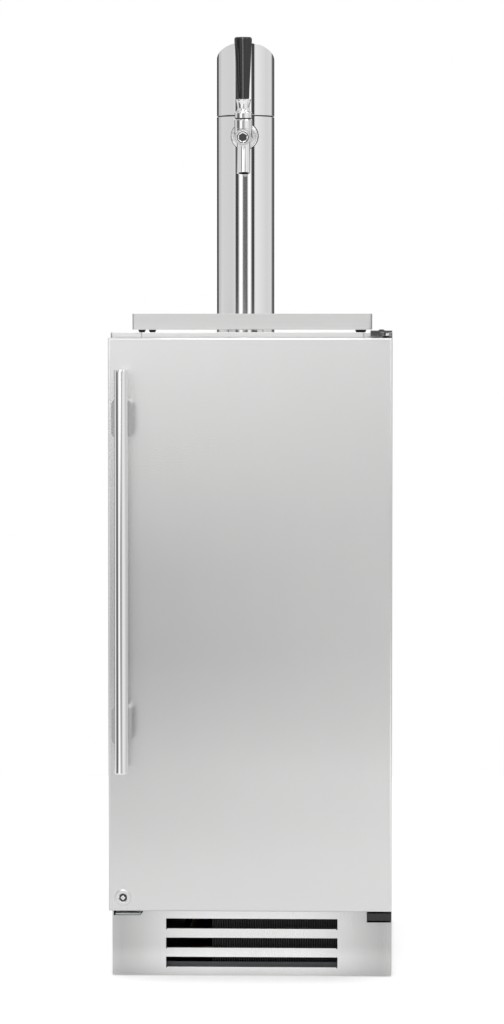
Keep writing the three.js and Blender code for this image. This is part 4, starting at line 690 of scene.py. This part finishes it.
# A corner without a radius comes out five times, so four of them are cut off at each end.
collar_to_ferrule = softened(
    [(11.7, 25.3), (12, 26.2), (12, 34), (9.0, 35.2), (8.4, 40), (9.3, 46), (10.6, 50.2), (10.6, 51.5),
     (4.7, 51.5)],
    [0, 0, 1.4, 1.6, 2.5, 3, 0.6, 0.3, 0],
)[4:-4]
lever_line = np.concatenate([
    finger,
    np.stack([ball_radius * np.cos(ball), pivot_height + ball_radius * np.sin(ball)], 1),
    np.stack([hollow_radius * np.cos(hollow), pivot_height + hollow_radius * np.sin(hollow)], 1),
    collar_to_ferrule,
    stud,
])
lever = skinned("tap_lever_chromed", in_tap(turned(lever_line, (0, -lever_forwards))), chrome, "tap_lever",
                "tap_arm")
# Painted shade under the collar's rim.
shade_painted_between(lever, 0, rim_height)

# Handle: a black moulded grip that is screwed onto the lever's stud and widens upwards. It has eight shallow
# flutes, a domed head and a fine parting seam down its front. A painted highlight runs along the seam, and
# painted shade makes the plastic darker at its left than at its right.
handle_plastic = grained("black_handle", (0.16, 0.16, 0.162), 0.3, 0.0, across=700.0, along=700.0,
                         relief=0.05, Coat_Weight=0.1, Coat_Roughness=0.15)
handle_tree = handle_plastic.node_tree
handle_across = object_place(handle_tree).outputs["X"]
# Painted shade on the left of the grip and a painted highlight along the seam.
shaded_left_tone, lit_right_tone, seam_highlight_tone = ((tone, tone, tone, 1) for tone in (0.03, 0.09, 1))
painted_side_shade = blended(handle_tree, eased(handle_tree, handle_across, -0.018, -0.016), shaded_left_tone, lit_right_tone)
on_seam_highlight = inside(handle_tree, handle_across, -0.0171, -0.0151, 0.0008)
multiplied(handle_plastic, blended(handle_tree, on_seam_highlight, painted_side_shade, seam_highlight_tone))
grip_line = softened([(0.5, 51.8), (8.25, 51.8), (12.05, 131.0), (12.05, 134.2), (10.6, 136.2), (0.5, 136.6)],
                     [0, 0.8, 1.5, 0.8, 1.5, 0], 8)
even = np.linspace(56, 126, 24)
side_line = np.stack([np.interp(even, [51.8, 131], [8.25, 12.05]), even], 1)
grip = turned(np.concatenate([grip_line[:12], side_line, grip_line[16:]]), (0, 0), "Z", 192)

# Flutes and seam are shares of the radius. They fade out over 8 mm at each end of the grip.
flute_depth, seam_relief, seam_degrees, seam_width = 0.06, 0.02, -97, 5
fade = np.clip((grip[..., 2] - 57) / 8, 0, 1) * np.clip((125 - grip[..., 2]) / 8, 0, 1)
round_grip = np.arctan2(grip[..., 1], grip[..., 0])
flutes = (0.5 + 0.5 * np.cos(8 * round_grip)) ** 2 * flute_depth * fade
seam = np.exp(-((np.degrees(round_grip) - seam_degrees) / seam_width) ** 2) * seam_relief * fade
grip[..., 0] *= 1 - flutes + seam
grip[..., 1] = grip[..., 1] * (1 - flutes + seam) - lever_forwards
skinned("tap_handle_moulded", in_tap(grip), handle_plastic, "tap_handle", "tap_arm")

# Drip tray: a folded stainless tray that stands loose on four black rubber feet. A slotted grille of the same
# sheet lies in it and lifts out.
tray_steel = grained("tray_stainless", (0.66, 0.66, 0.655), 0.32, turned=1.0)
finished("drip_tray", tray_steel, 0.45, "tray")
finished("drip_grille", tray_steel, 0.3, "grille")
for corner in ("front_left", "front_right", "rear_left", "rear_right"):
    finished("tray_foot_" + corner, rubber, 0.4, "tray")
